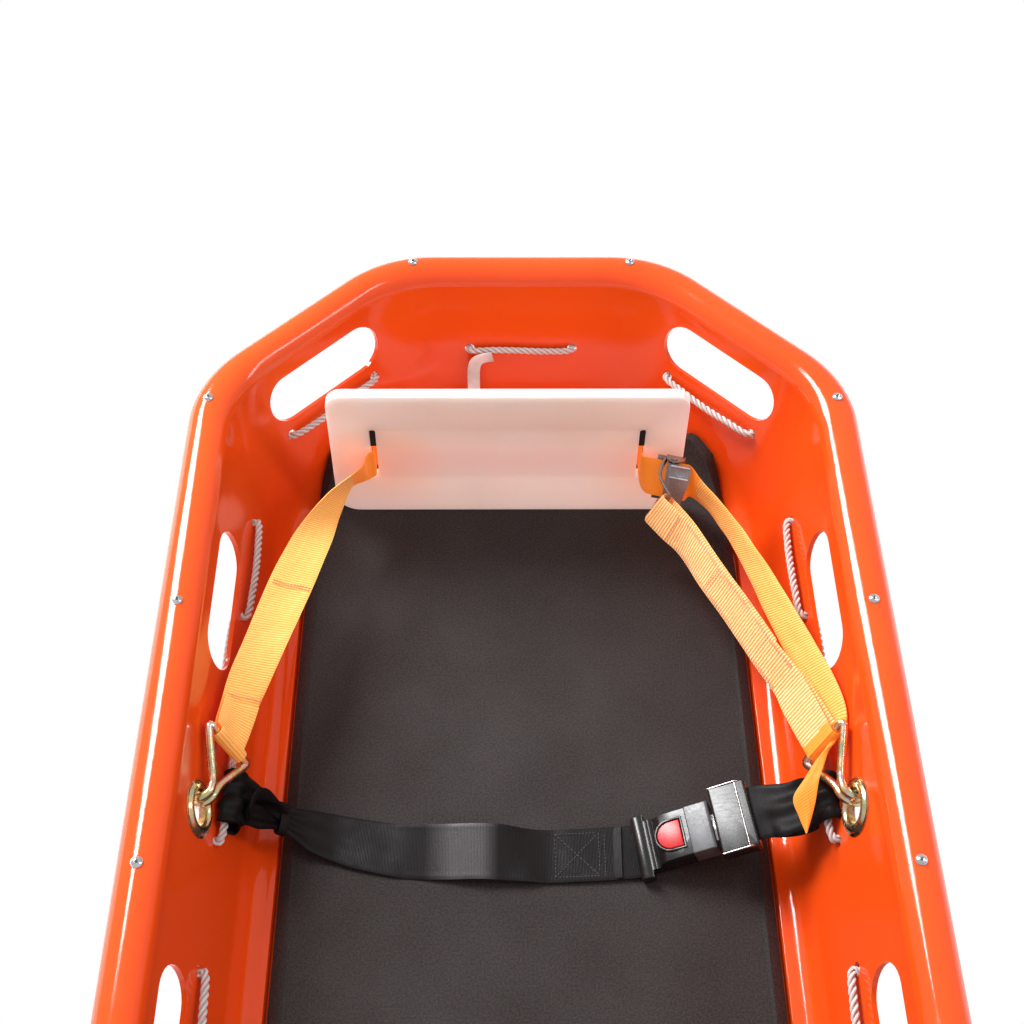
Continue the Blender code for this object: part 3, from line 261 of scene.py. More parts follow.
def bumps(tree, shader, *layers):
    """Bump layers of (height, strength, distance), each on top of the one before."""
    under = {}
    for height, strength, distance in layers:
        layer = node(tree, "ShaderNodeBump", {"Height": height, "Strength": strength, "Distance": distance, **under})
        under = {"Normal": layer.outputs[0]}
    fill(shader, under)


def coords(tree, kind="Object"):
    return node(tree, "ShaderNodeTexCoord").outputs[kind]


def spots(tree, scale, detail=3.0, stretch=None, kind="Object"):
    """Noise in the object's own coordinates or its UVs."""
    place = coords(tree, kind)
    if stretch is not None:
        place = node(tree, "ShaderNodeMapping", {"Vector": place, "Scale": stretch}).outputs[0]
    return node(tree, "ShaderNodeTexNoise", {"Vector": place, "Scale": scale, "Detail": detail}).outputs[0]


def surface(name, tone, gloss, layers, metallic=0.0, **inputs):
    """A material with clouded colour, uneven gloss and bumps, each from its own noise as spots() takes it."""
    mat, tree, shader = look(name, (1, 1, 1), gloss if isinstance(gloss, float) else 0.5, metallic)
    for key, part in (("Base Color", tone), ("Roughness", gloss)):
        if not isinstance(part, float):
            fill(shader, {key: ramp(tree, spots(tree, *part[0]), *part[1:])})
    bumps(tree, shader, *((spots(tree, *grain), *depth) for grain, *depth in layers))
    fill(shader, {key.replace("_", " "): value for key, value in inputs.items()})
    return mat


def brushed(name, colour, roughness, scratches=900.0, stretch=(1, 1, 12), depth=0.0002, metallic=1.0):
    """Metal with fine drawn lines, cloudy tone and uneven gloss."""
    lines = (scratches, 3.0, stretch)
    return surface(name, ((45.0, 3.0), 0.35, 0.62, (tuple(0.72 * c for c in colour), colour)),
                   (lines, 0.3, 0.7, (roughness * 0.7, roughness * 1.5)), [(lines, 0.35, depth)], metallic)


def orange_plastic():
    return surface("orange_shell_look", ((3.0, 2.0), 0.3, 0.7, ((0.86, 0.072, 0.006), (0.94, 0.094, 0.009))),
                   ((40.0, 4.0), 0.45, 0.75, (0.1, 0.17)), [((7.0, 1.0), 0.12, 0.01), ((260.0, 1.0), 0.06, 0.0008)],
                   IOR=1.5, Subsurface_Weight=0.12, Subsurface_Radius=(0.012, 0.004, 0.001), Subsurface_Scale=0.3)


def thread_look(name, colour):
    twist = (900.0, 2.0)
    return surface(name, (twist, 0.3, 0.7, (tuple(0.6 * c for c in colour), colour)), 0.6, [(twist, 0.4, 0.0002)])


def glossy_black():
    return surface("black_plastic_look", ((30.0, 2.0), 0.35, 0.7, ((0.007, 0.007, 0.007), (0.014, 0.0135, 0.0135))),
                   ((160.0, 4.0, (1, 3, 1)), 0.4, 0.68, (0.24, 0.31)), [((700.0, 2.0), 0.05, 0.0001)])


def satin_grey():
    grain = (900.0, 3.0)
    return surface("satin_band_look", ((60.0, 3.0), 0.35, 0.7, ((0.08, 0.08, 0.084), (0.135, 0.135, 0.142))),
                   (grain, 0.35, 0.7, (0.3, 0.48)), [(grain, 0.3, 0.0002)], 0.35)


def red_plastic():
    grain = (500.0, 3.0)
    return surface("red_button_look", (grain, 0.35, 0.7, ((0.5, 0.006, 0.008), (0.62, 0.01, 0.012))), 0.3,
                   [(grain, 0.25, 0.0003)], Subsurface_Weight=0.1, Subsurface_Scale=0.002)


def rolled_gold():
    """Yellow passivated metal whose tint drifts from gold to pink, green and nickel."""
    mat, tree, shader = look("gold_plated_look", (0.8, 0.62, 0.34), 0.22, 1.0)
    tint = node(tree, "ShaderNodeValToRGB", {"Fac": spots(tree, 60.0, 2.0)})
    stops = tint.color_ramp.elements
    stops[0].position, stops[0].color = 0.34, (0.76, 0.72, 0.62, 1)
    stops[1].position, stops[1].color = 0.68, (0.62, 0.5, 0.22, 1)
    for place, colour in ((0.44, (0.78, 0.56, 0.4, 1)), (0.52, (0.84, 0.66, 0.3, 1)), (0.6, (0.56, 0.62, 0.42, 1))):
        stops.new(place).color = colour
    grime = spots(tree, 220.0, 4.0)
    fill(shader, {"Base Color": tint.outputs[0], "Roughness": ramp(tree, grime, 0.35, 0.7, (0.14, 0.34))})
    bumps(tree, shader, (grime, 0.2, 0.0003))
    return mat


def laid_white():
    """Rope whose yarns and strands follow its UVs, with painted pinkish shade in the grooves between the strands."""
    mat, tree, shader = look("white_rope_look", (0.86, 0.84, 0.82), 0.75)
    around, along, _ = node(tree, "ShaderNodeSeparateXYZ", {"Vector": coords(tree, "UV")}).outputs
    phase = maths(tree, "ADD", maths(tree, "MULTIPLY", around, 27.0), maths(tree, "MULTIPLY", along, 520.0))
    yarn = maths(tree, "SINE", maths(tree, "MULTIPLY", phase, TURN))
    # Painted shade: near white on the strands' crowns, darker pink in the grooves between them.
    crown = maths(tree, "COSINE", maths(tree, "MULTIPLY", around, 3 * TURN))
    tone = ramp(tree, crown, -1.0, 0.2, ((0.72, 0.55, 0.52), (0.97, 0.96, 0.95)))
    fill(shader, {"Sheen Weight": 0.3,
                  "Base Color": mixed(tree, spots(tree, 30.0), tone, (0.93, 0.9, 0.88), "MULTIPLY")})
    bumps(tree, shader, (yarn, 0.7, 0.00025), (spots(tree, 900.0), 0.5, 0.0002))
    return mat


def cellular_foam():
    mat, tree, shader = look("dark_foam_look", (0.055, 0.044, 0.041), 0.85)
    cells = node(tree, "ShaderNodeTexVoronoi", {"Vector": coords(tree), "Scale": 780.0})
    grain = spots(tree, 520.0, 4.0)
    fill(shader, {"Base Color": ramp(tree, grain, 0.38, 0.66, ((0.012, 0.009, 0.0085), (0.032, 0.0245, 0.023))),
                  "Roughness": ramp(tree, spots(tree, 14.0), 0.3, 0.7, (0.76, 0.9))})
    bumps(tree, shader, (cells.outputs["Distance"], 0.5, 0.0006), (grain, 0.6, 0.0006),
          (spots(tree, 9.0, 2.0, (1.6, 0.5, 1)), 0.22, 0.004))
    return mat


def milky_plastic():
    """Milky sheet with a painted glow, stronger towards the bottom, and painted orange light round the two strap
    slots.
    """
    mat, tree, shader = look("white_plate_look", (0.8, 0.8, 0.82), 0.34)
    place = coords(tree)
    tone = ramp(tree, spots(tree, 9.0, 2.0), 0.3, 0.7, ((0.86, 0.77, 0.73), (0.89, 0.83, 0.81)))
    # Painted orange light round each strap slot, as from the orange strap in it.
    for side, share in ((-1, 0.75), (1, 0.45)):
        slot_glow_centre = Vector((PLATE_X + side * (PLATE_SLOT_SPREAD + 0.006 * side), PLATE_FRONT_Y, PLATE_SLOT_Z - 0.022))
        away = node(tree, "ShaderNodeVectorMath", {0: place, 1: slot_glow_centre}, operation="DISTANCE").outputs["Value"]
        tone = mixed(tree, ramp(tree, away, 0.012, 0.07, (share, 0.0)), tone, (1.0, 0.56, 0.34))
    # Painted glow: emission 0.4 at the plate's bottom, falling to 0.06 at its top, standing in for light on the
    # plate.
    level = node(tree, "ShaderNodeSeparateXYZ", {"Vector": place}).outputs[2]
    scuff = spots(tree, 60.0)
    fill(shader, {"Base Color": tone, "Roughness": ramp(tree, scuff, 0.4, 0.7, (0.3, 0.42)),
                  "Subsurface Weight": 0.85, "Subsurface Radius": (0.03, 0.026, 0.022), "Subsurface Scale": 0.6,
                  "Emission Strength": ramp(tree, level, MAT_TOP, MAT_TOP + PLATE_HEIGHT, (0.4, 0.06)),
                  "Emission Color": (1.0, 0.72, 0.62, 1)})
    bumps(tree, shader, (scuff, 0.05, 0.0005), (spots(tree, 900.0, 2.0), 0.08, 0.0002))
    return mat


def wave(tree, value, pitch):
    """A sine of a length, one turn per pitch, between 0 and 1."""
    return ramp(tree, maths(tree, "SINE", maths(tree, "MULTIPLY", value, TURN / pitch)), -1.0, 1.0, (0.0, 1.0))


def webbing(name, light, dark, pitch, roughness, sheen, rib=0.0004, gloss=None, glow=None):
    """Woven strap: cross ribs, lengthwise yarns broken up by noise, grooves painted darker as shade, faded patches,
    and an optional painted glow that lifts its shade.
    """
    mat, tree, shader = look(name, light, roughness)
    uv = coords(tree, "UV")
    across, along, _ = node(tree, "ShaderNodeSeparateXYZ", {"Vector": uv}).outputs
    sway = maths(tree, "MULTIPLY", spots(tree, 260.0, 2.0, kind="UV"), pitch * 0.55)
    ribs = wave(tree, maths(tree, "ADD", along, sway), pitch)
    yarns = ramp(tree, wave(tree, across, YARN_PITCH), 0.0, 1.0, (0.72, 1.0))
    weave = maths(tree, "MULTIPLY", ribs, yarns)
    broad = spots(tree, 42.0, kind="UV")
    faded = [0.75 * a + 0.25 * b for a, b in zip(dark, light)]
    # The grooves between ribs and yarns get the dark colour: painted shade.
    fill(shader, {"Sheen Weight": sheen,
                  "Base Color": mixed(tree, ramp(tree, broad, 0.35, 0.7, (0.0, 0.35)),
                                      ramp(tree, weave, 0.05, 0.75, (dark, light)), faded)})
    if gloss is not None:
        fill(shader, {"Roughness": ramp(tree, broad, 0.35, 0.65, gloss)})
    # Painted glow: a red-orange emission that lifts the shade of the webbing.
    if glow is not None:
        fill(shader, {"Emission Color": (1.0, 0.2, 0.008, 1), "Emission Strength": glow})
    bumps(tree, shader, (weave, 0.9, rib), (spots(tree, 1500.0, 2.0, kind="UV"), 0.4, 0.0002))
    return mat


def painted_sheen(web):
    """A band across the belts with a painted highlight: lighter colour and more specular there, standing in for the
    sheen on the belt's hump.
    """
    tree = web.node_tree
    shader = tree.nodes["Principled BSDF"]
    place = node(tree, "ShaderNodeSeparateXYZ", {"Vector": coords(tree)}).outputs[0]
    band = maths(tree, "MULTIPLY", ramp(tree, place, -0.09, -0.066, (0.0, 1.0)),
                 ramp(tree, place, -0.038, -0.024, (1.0, 0.0)))
    woven = shader.inputs["Base Color"].links[0].from_socket
    # Painted highlight: base colour mixed lighter in the band, specular raised.
    fill(shader, {"Specular IOR Level": ramp(tree, band, 0.0, 1.0, (0.12, 0.42)),
                  "Base Color": mixed(tree, band, woven, (0.036, 0.03, 0.033))})


# ---- mesh helpers

def piece(name, mesh, mat, body, *nodes, sharp=None):
    obj = bpy.data.objects.new(name, mesh)
    visual.objects.link(obj)
    if mat is not None:
        painted(mesh, mat)
    mesh.shade_smooth()
    if sharp is not None:
        mesh.set_sharp_from_angle(angle=math.radians(sharp))
    if body is not None:
        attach(obj, body)
    if nodes:
        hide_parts(*nodes)
    return obj


def blended(name, mesh, node_name):
    """A strap piece with its transform baked in, in place of a hidden CAD part."""
    strap = piece(name, mesh, None, None, sharp=60)
    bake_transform(strap)
    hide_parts(node_name)


def mesh_of(name, verts, faces, uvs=None):
    mesh = bpy.data.meshes.new(name)
    mesh.from_pydata([tuple(v) for v in verts], [], faces)
    if uvs is not None:
        layer = mesh.uv_layers.new(name="UVMap")
        for loop in mesh.loops:
            layer.data[loop.index].uv = uvs[loop.vertex_index]
    mesh.update()
    return mesh


def evaluated(obj):
    """The mesh of an object with its modifiers, the object itself removed."""
    mesh = applied(obj)
    mesh.transform(obj.matrix_world)
    bpy.data.objects.remove(obj, do_unlink=True)
    return mesh


def applied(obj):
    bpy.context.view_layer.update()
    return bpy.data.meshes.new_from_object(obj.evaluated_get(bpy.context.evaluated_depsgraph_get()))


def loose(name, mesh):
    """An object that only serves as a step towards another one."""
    obj = bpy.data.objects.new(name, mesh)
    scene.collection.objects.link(obj)
    return obj


def cut(obj, shape, *places, operation="DIFFERENCE"):
    """Cut a mesh, or (verts, faces) at some places, out of an object, or join it to it."""
    if not isinstance(shape, bpy.types.Mesh):
        shape = gathered([(*shape, place) for place in places or (HERE,)])
    other = loose("cutter", shape)
    mod = obj.modifiers.new("cut", "BOOLEAN")
    mod.operation = operation
    mod.solver = "EXACT"
    mod.object = other
    result = applied(obj)
    obj.modifiers.remove(mod)
    obj.data = result
    bpy.data.objects.remove(other, do_unlink=True)
    return obj


def thickened(name, verts, faces, thickness, offset):
    obj = loose(name, mesh_of(name, verts, faces))
    solid = obj.modifiers.new("wall", "SOLIDIFY")
    solid.thickness = thickness
    solid.offset = offset
    solid.use_even_offset = True
    return evaluated(obj)


def prism(outline, low, high):
    """A closed outline in XY as a solid between two heights."""
    count = len(outline)
    verts = [(x, y, low) for x, y in outline] + [(x, y, high) for x, y in outline]
    faces = [tuple(reversed(range(count))), tuple(range(count, 2 * count))]
    faces += [(k, (k + 1) % count, (k + 1) % count + count, k + count) for k in range(count)]
    return verts, faces


def gathered(parts):
    """One mesh of several (verts, faces, matrix) that don't touch."""
    verts, faces = [], []
    for some, more, matrix in parts:
        start = len(verts)
        verts += [matrix @ Vector(v) for v in some]
        faces += [tuple(start + k for k in face) for face in more]
    return mesh_of("gathered", verts, faces)


def lathe(profile, steps, closed=False):
    """A profile of (radius, height) turned round Z; ends on the axis become one point."""
    verts, rings = [], []
    for r, z in profile:
        count = 1 if r < 1e-6 else steps
        rings.append([len(verts) + k % count for k in range(steps)])
        verts += [(r * math.cos(TURN * k / steps), r * math.sin(TURN * k / steps), z) for k in range(count)]
    faces = []
    for low, high in zip(rings, rings[1:] + rings[:1] if closed else rings[1:]):
        for k in range(steps):
            n = (k + 1) % steps
            face = tuple(dict.fromkeys((low[k], low[n], high[n], high[k])))
            if len(face) > 2:
                faces.append(face)
    return verts, faces


def rod(radius, reach, steps):
    """A round rod along Z, as far up as down."""
    return lathe(((0, -reach), (radius, -reach), (radius, reach), (0, reach)), steps)


def loft_faces(count, ring, cyclic=False):
    """Faces between rings of vertices, closed at both ends unless it is cyclic."""
    faces = []
    for i in range(count if cyclic else count - 1):
        for k in range(ring):
            n, j = (k + 1) % ring, (i + 1) % count
            faces.append((i * ring + k, i * ring + n, j * ring + n, j * ring + k))
    if not cyclic:
        faces += [tuple(reversed(range(ring))), tuple((count - 1) * ring + k for k in range(ring))]
    return faces


def spline(points, cyclic=False):
    """Catmull-Rom through tuples of numbers or vectors; returns a function of a parameter 0..count."""
    rows = [tuple(p) for p in points]
    count = len(rows)

    def at(t):
        i = min(int(math.floor(t)), count - (1 if cyclic else 2))
        f = t - i
        if cyclic:
            a, b, c, d = (rows[(i + k) % count] for k in (-1, 0, 1, 2))
        else:
            b, c = rows[i], rows[i + 1]
            a = rows[i - 1] if i > 0 else tuple(2 * p - q for p, q in zip(b, c))
            d = rows[i + 2] if i + 2 < count else tuple(2 * q - p for p, q in zip(b, c))
        return [0.5 * (2 * q + (r - p) * f + (2 * p - 5 * q + 4 * r - s) * f * f
                       + (3 * q - p - 3 * r + s) * f ** 3) for p, q, r, s in zip(a, b, c, d)]
    return at, (count if cyclic else count - 1)


def even_rows(points, spacing, cyclic=False):
    """Rows along the spline, evenly spaced by the distance of their first three numbers."""
    at, spans = spline(points, cyclic)
    fine = [at(spans * k / (spans * 24)) for k in range(spans * 24 + (0 if cyclic else 1))]
    if cyclic:
        fine.append(fine[0])
    lengths = [0.0]
    for p, q in zip(fine, fine[1:]):
        lengths.append(lengths[-1] + math.dist(p[:3], q[:3]))
    count = max(2, round(lengths[-1] / spacing))
    rows, j = [], 0
    for k in range(count + (0 if cyclic else 1)):
        want = lengths[-1] * k / count
        while j < len(fine) - 2 and lengths[j + 1] < want:
            j += 1
        share = (want - lengths[j]) / max(lengths[j + 1] - lengths[j], 1e-9)
        rows.append([p + (q - p) * share for p, q in zip(fine[j], fine[j + 1])])
    return rows, lengths[-1]


def tube(points, radius, sides, cyclic=False, section=None, twist=0.0):
    """A tube along points; section(angle) scales its radius and twist is turns per metre."""
    pts = [Vector(p[:3]) for p in points]
    count = len(pts)
    verts, uvs = [], []
    side = (pts[1] - pts[0]).normalized().orthogonal().normalized()
    run = 0.0
    for i, p in enumerate(pts):
        before = pts[i - 1] if i or cyclic else p
        after = pts[(i + 1) % count] if i + 1 < count or cyclic else p
        new = (after - before).normalized()
        side = (side - new * side.dot(new)).normalized()
        up = new.cross(side)
        if i:
            run += (p - pts[i - 1]).length
        for k in range(sides):
            angle = TURN * k / sides
            r = radius * (section(angle) if section else 1.0)
            turned = angle + TURN * twist * run
            verts.append(p + side * r * math.cos(turned) + up * r * math.sin(turned))
            uvs.append((k / sides, run))
    return verts, loft_faces(count, sides, cyclic), uvs


def wire(points, spacing, radius, sides):
    return tube(even_rows([tuple(p) for p in points], spacing)[0], radius, sides)


def box_verts(size, centre=(0, 0, 0)):
    bm = bmesh.new()
    bmesh.ops.create_cube(bm, size=1.0, matrix=Matrix.Translation(centre) @ Matrix.Diagonal((*size, 1.0)))
    verts = [v.co.copy() for v in bm.verts]
    faces = [tuple(v.index for v in f.verts) for f in bm.faces]
    bm.free()
    return verts, faces


def bevelled(mesh, width, segments=3, angle=30):
    """The mesh with its sharp edges rounded."""
    obj = loose("bevelled", mesh)
    mod = obj.modifiers.new("edges", "BEVEL")
    mod.width = width
    mod.segments = segments
    mod.limit_method = "ANGLE"
    mod.angle_limit = math.radians(angle)
    return evaluated(obj)


# ---- shell

ARC_STEPS = 12
ARCH_STEPS = 20
FILLET_STEPS = 12
WALL_ROWS = 6


def wall_inset(z):
    return 2 * RIM_RADIUS + WALL_LEAN * (RIM_Z - z)


def fillet_rows(radius, floor_z, end_inset):
    turn = math.radians(90) - math.atan(WALL_LEAN)
    centre = (wall_inset(floor_z) + radius * math.tan(turn / 2), floor_z + radius)
    rows = []
    top = (centre[0] - radius * math.cos(math.atan(WALL_LEAN)), centre[1] - radius * math.sin(math.atan(WALL_LEAN)))
    for k in range(1, WALL_ROWS):
        z = RIM_Z + (top[1] - RIM_Z) * k / WALL_ROWS
        rows.append((wall_inset(z), z))
    for k in range(FILLET_STEPS + 1):
        angle = math.radians(180) + math.atan(WALL_LEAN) + turn * k / FILLET_STEPS
        rows.append((centre[0] + radius * math.cos(angle), centre[1] + radius * math.sin(angle)))
    last = max(end_inset, rows[-1][0] + 0.001)
    for share, drop in ((0.0, 0.0), (0.18, 0.03), (0.5, 0.5), (0.82, 0.97), (1.0, 1.0)):
        rows.append((last + LIP_RUN * share, floor_z + (SEAT_Z - floor_z) * drop))
    return rows


def section_rows(share):
    rows = [(0.0, RIM_Z - RIM_LIP), (0.0, RIM_Z - RIM_LIP * 0.5)]
    for k in range(ARCH_STEPS + 1):
        angle = math.pi - math.pi * k / ARCH_STEPS
        rows.append((RIM_RADIUS + RIM_RADIUS * math.cos(angle), RIM_Z + RIM_RADIUS * math.sin(angle)))
    side = fillet_rows(SIDE_FILLET, BENCH_Z, BENCH_INSET)
    end = fillet_rows(END_FILLET, SEAT_Z, 0.0)
    rows += [(d0 + (d1 - d0) * share, z0 + (z1 - z0) * share) for (d0, z0), (d1, z1) in zip(side, end)]
    return rows


def column_point(corner, step, inset):
    reach = inset + CORNER_RADIUS
    if corner == 0:
        cx = HALF_WIDTH - reach
        cy = CORNER_SUM - SQ2 * reach - cx
    else:
        cy = HALF_LENGTH - reach
        cx = CORNER_SUM - SQ2 * reach - cy
    angle = math.radians(45) * (corner + step)
    return cx + CORNER_RADIUS * math.cos(angle), cy + CORNER_RADIUS * math.sin(angle)


def ring_columns():
    quarter = [(corner, step / ARC_STEPS) for corner in (0, 1) for step in range(ARC_STEPS + 1)]
    columns = []
    for sx, sy, flip in ((1, 1, False), (-1, 1, True), (-1, -1, False), (1, -1, True)):
        for corner, step in (reversed(quarter) if flip else quarter):
            columns.append((sx, sy, corner, step))
    return columns


def end_share(corner, step):
    return 1.0 if corner == 1 else step * step * (3 - 2 * step)


def shell_skin():
    columns = ring_columns()
    sections = [section_rows(end_share(corner, step)) for _, _, corner, step in columns]
    count, rows = len(columns), len(sections[0])
    verts = []
    for row in range(rows):
        for (sx, sy, corner, step), profile in zip(columns, sections):
            inset, z = profile[row]
            x, y = column_point(corner, step, inset)
            verts.append((sx * x, sy * y, z))
    faces = [(row * count + k, row * count + (k + 1) % count, (row + 1) * count + (k + 1) % count,
              (row + 1) * count + k) for row in range(rows - 1) for k in range(count)]
    faces.append(tuple((rows - 1) * count + k for k in range(count)))
    return verts, faces


def wall_frame(side_y=None, chamfer=None, end_x=None, z=0.1, sx=1, sy=1):
    """Frame on the wall's inner face: x along the wall, y up it, z into the basket."""
    inset = wall_inset(z)
    if side_y is not None:
        point = Vector((sx * (HALF_WIDTH - inset), sy * side_y, z))
        inward = Vector((-sx, 0, 0))
    elif chamfer is not None:
        spare = (HALF_WIDTH + HALF_LENGTH - CORNER_SUM) / 2
        middle = Vector((HALF_WIDTH - spare, HALF_LENGTH - spare, z))
        point = middle + Vector((1, -1, 0)) / SQ2 * chamfer - Vector((1, 1, 0)) / SQ2 * inset
        point = Vector((sx * point.x, sy * point.y, z))
        inward = Vector((-sx, -sy, 0)) / SQ2
    else:
        point = Vector((sx * end_x, sy * (HALF_LENGTH - inset), z))
        inward = Vector((0, -sy, 0))
    normal = (inward + Vector((0, 0, WALL_LEAN))).normalized()
    along = Vector((0, 0, 1)).cross(normal).normalized()
    turn = Matrix((along, normal.cross(along), normal)).transposed().to_4x4()
    turn.translation = point
    return turn


def rope_height(kind):
    return END_ROPE_Z if kind == "end_x" else ROPE_Z


def rope_runs():
    half = ROPE_RUN / 2
    runs = [("side_y", 1, 1, y - half, y + half) for y in reversed(SIDE_RUN_Y)]
    runs.append(("chamfer", 1, 1, half + 0.004, -half + 0.004))
    runs.append(("end_x", 1, 1, END_RUN / 2, -END_RUN / 2))
    runs.append(("chamfer", -1, 1, -half + 0.004, half + 0.004))
    runs += [("side_y", -1, 1, y + half, y - half) for y in SIDE_RUN_Y]
    runs += [("side_y", -1, -1, y - half, y + half) for y in SIDE_RUN_Y[-2::-1]]
    runs.append(("chamfer", -1, -1, half + 0.004, -half + 0.004))
    runs.append(("end_x", -1, -1, END_RUN / 2, -END_RUN / 2))
    runs.append(("chamfer", 1, -1, -half + 0.004, half + 0.004))
    runs += [("side_y", 1, -1, y + half, y - half) for y in SIDE_RUN_Y[:-1]]
    return runs


def slot_outline(length, height, steps=14):
    radius = height / 2
    outline = []
    for sign in (1, -1):
        for k in range(steps + 1):
            angle = math.radians(-90 + 180 * k / steps) + (0 if sign > 0 else math.pi)
            outline.append((sign * (length / 2 - radius) + radius * math.cos(angle), radius * math.sin(angle)))
    return outline


def rivet_places():
    return ([(sx * (HALF_WIDTH - RIM_RADIUS), sy * y) for sy, sx in CORNERS for y in RIVET_SIDE_Y]
            + [(sx * RIVET_END_X, sy * (HALF_LENGTH - RIM_RADIUS)) for sy, sx in CORNERS])


def build_shell():
    obj = loose("shell_solid", thickened("shell_work", *shell_skin(), WALL, -1.0))
    slots = []
    for sx, sy in CORNERS:
        slots += [wall_frame(side_y=y, z=SLOT_Z, sx=sx, sy=sy) for y in SIDE_SLOT_Y]
        slots.append(wall_frame(chamfer=0.003, z=SLOT_Z, sx=sx, sy=sy))
    cut(obj, prism(slot_outline(SLOT_LENGTH, SLOT_HEIGHT), -0.03, 0.03), *slots)
    cut(obj, rod(EYE_HOLE + 0.0015, 0.02, 40), *eye_sites())
    cut(obj, rod(ROPE_HOLE - 0.0014, 0.015, 24),
        *[wall_frame(z=rope_height(kind), sx=sx, sy=sy, **{kind: value})
          for kind, sx, sy, *ends in rope_runs() for value in ends])
    cut(obj, rod(0.0027, 0.01, 12), *[Matrix.Translation((x, y, RIM_TOP)) for x, y in rivet_places()])
    cut(obj, box_verts((2.2, 2.4, 0.02), (0, 0, -0.01)))
    mesh = evaluated(obj)
    shell = piece("shell_moulding", mesh, orange_plastic(), BASE, "shell", sharp=38)
    return BVHTree.FromPolygons([v.co.copy() for v in mesh.vertices], [tuple(p.vertices) for p in mesh.polygons])


# ---- tube, rivets, eyelets, rope

def build_tube():
    height = RIM_TOP - WALL - GAP - TUBE_RADIUS
    route = []
    for sx, sy, corner, step in ring_columns():
        x, y = column_point(corner, step, RIM_RADIUS)
        route.append((sx * x, sy * y, height))
    verts, faces, _ = tube(route, TUBE_RADIUS, 24, True)
    mat = brushed("tube_metal_look", (0.66, 0.67, 0.68), 0.32)
    piece("rim_tube_drawn", mesh_of("rim_tube_drawn", verts, faces), mat, BASE, "rim_tube")


def build_rivets():
    head = 0.0024
    profile = [(0.0, 0.0011), (0.0007, 0.001), (0.001, 0.0006), (0.00125, 0.0006), (0.0014, 0.0019)]
    profile += [(RIVET_HEAD * math.sin(math.radians(a)), head * math.cos(math.radians(a)) ** 1.2)
                for a in (22, 32, 44, 56, 68, 78)]
    profile += [(RIVET_HEAD, 0.00035), (RIVET_HEAD - 0.0001, 0.0), (RIVET_SHANK, 0.0), (RIVET_SHANK, -0.006),
                (0.0, -0.006)]
    verts, faces = lathe(profile, 32)
    mat = brushed("rivet_metal_look", (0.8, 0.8, 0.81), 0.2, 1500.0, (1, 1, 1), 0.00006)
    dark, _, _ = look("rivet_centre_look", (0.05, 0.045, 0.04), 0.6, 0.4)
    for number, (x, y) in enumerate(rivet_places(), 1):
        mesh = mesh_of(f"rivet_{number:02d}", verts, faces)
        rivet = piece(mesh.name, mesh, mat, None, sharp=35)
        mesh.materials.append(dark)
        for face in mesh.polygons:
            face.material_index = 1 if math.hypot(face.center.x, face.center.y) < 0.0011 and face.center.z > 0 else 0
        rivet.location = (x, y, RIM_TOP + GAP)
        rivet.rotation_euler = (0, 0, 0.9 * number)
        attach(rivet, BASE)
        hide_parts(f"rim_rivet_{number:02d}")


def eye_sites():
    return [wall_frame(side_y=EYE_Y, z=EYE_Z, sx=sx, sy=sy) for sx, sy in CORNERS]


def build_eyelets(mat):
    """A thick rolled flange inside, a barrel through the wall, a flatter roll outside."""
    profile = []
    for k in range(11):
        angle = math.radians(180 - 18 * k)
        profile.append((EYE_HOLE + 0.004 + 0.004 * math.cos(angle), GAP + 0.0038 * math.sin(angle)))
    profile = [(EYE_HOLE, GAP)] + profile[1:-1]
    profile += [(EYE_HOLE + 0.0086, GAP + 0.0009), (EYE_FLANGE - 0.0006, GAP + 0.0008), (EYE_FLANGE, GAP + 0.0005),
                (EYE_FLANGE, GAP), (EYE_HOLE + 0.0012, GAP), (EYE_HOLE + 0.0012, -WALL - GAP)]
    profile += [(EYE_FLANGE - 0.003, -WALL - GAP), (EYE_FLANGE - 0.003, -WALL - GAP - 0.001),
                (EYE_HOLE + 0.005, -WALL - 0.0026), (EYE_HOLE + 0.0026, -WALL - 0.003), (EYE_HOLE, -WALL - 0.0012)]
    verts, faces = lathe(profile, 64, True)
    for number, frame_at in enumerate(eye_sites(), 1):
        eye = piece(f"eyelet_rolled_{number}", mesh_of("eyelet", verts, faces), mat, None, sharp=50)
        eye.matrix_world = frame_at
        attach(eye, BASE)
        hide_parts(f"hoist_eyelet_{number}")


def corner_points(sx, sy, corner):
    steps = range(1, ARC_STEPS)
    if sx != sy:
        steps = reversed(steps)
    inset = wall_inset(ROPE_Z) - (WALL + ROPE_RADIUS + 2 * GAP) * math.sqrt(1 + WALL_LEAN ** 2)
    points = []
    for step in steps:
        x, y = column_point(corner, step / ARC_STEPS, inset - 0.0006)
        points.append(Vector((sx * x, sy * y, ROPE_Z)))
    return points


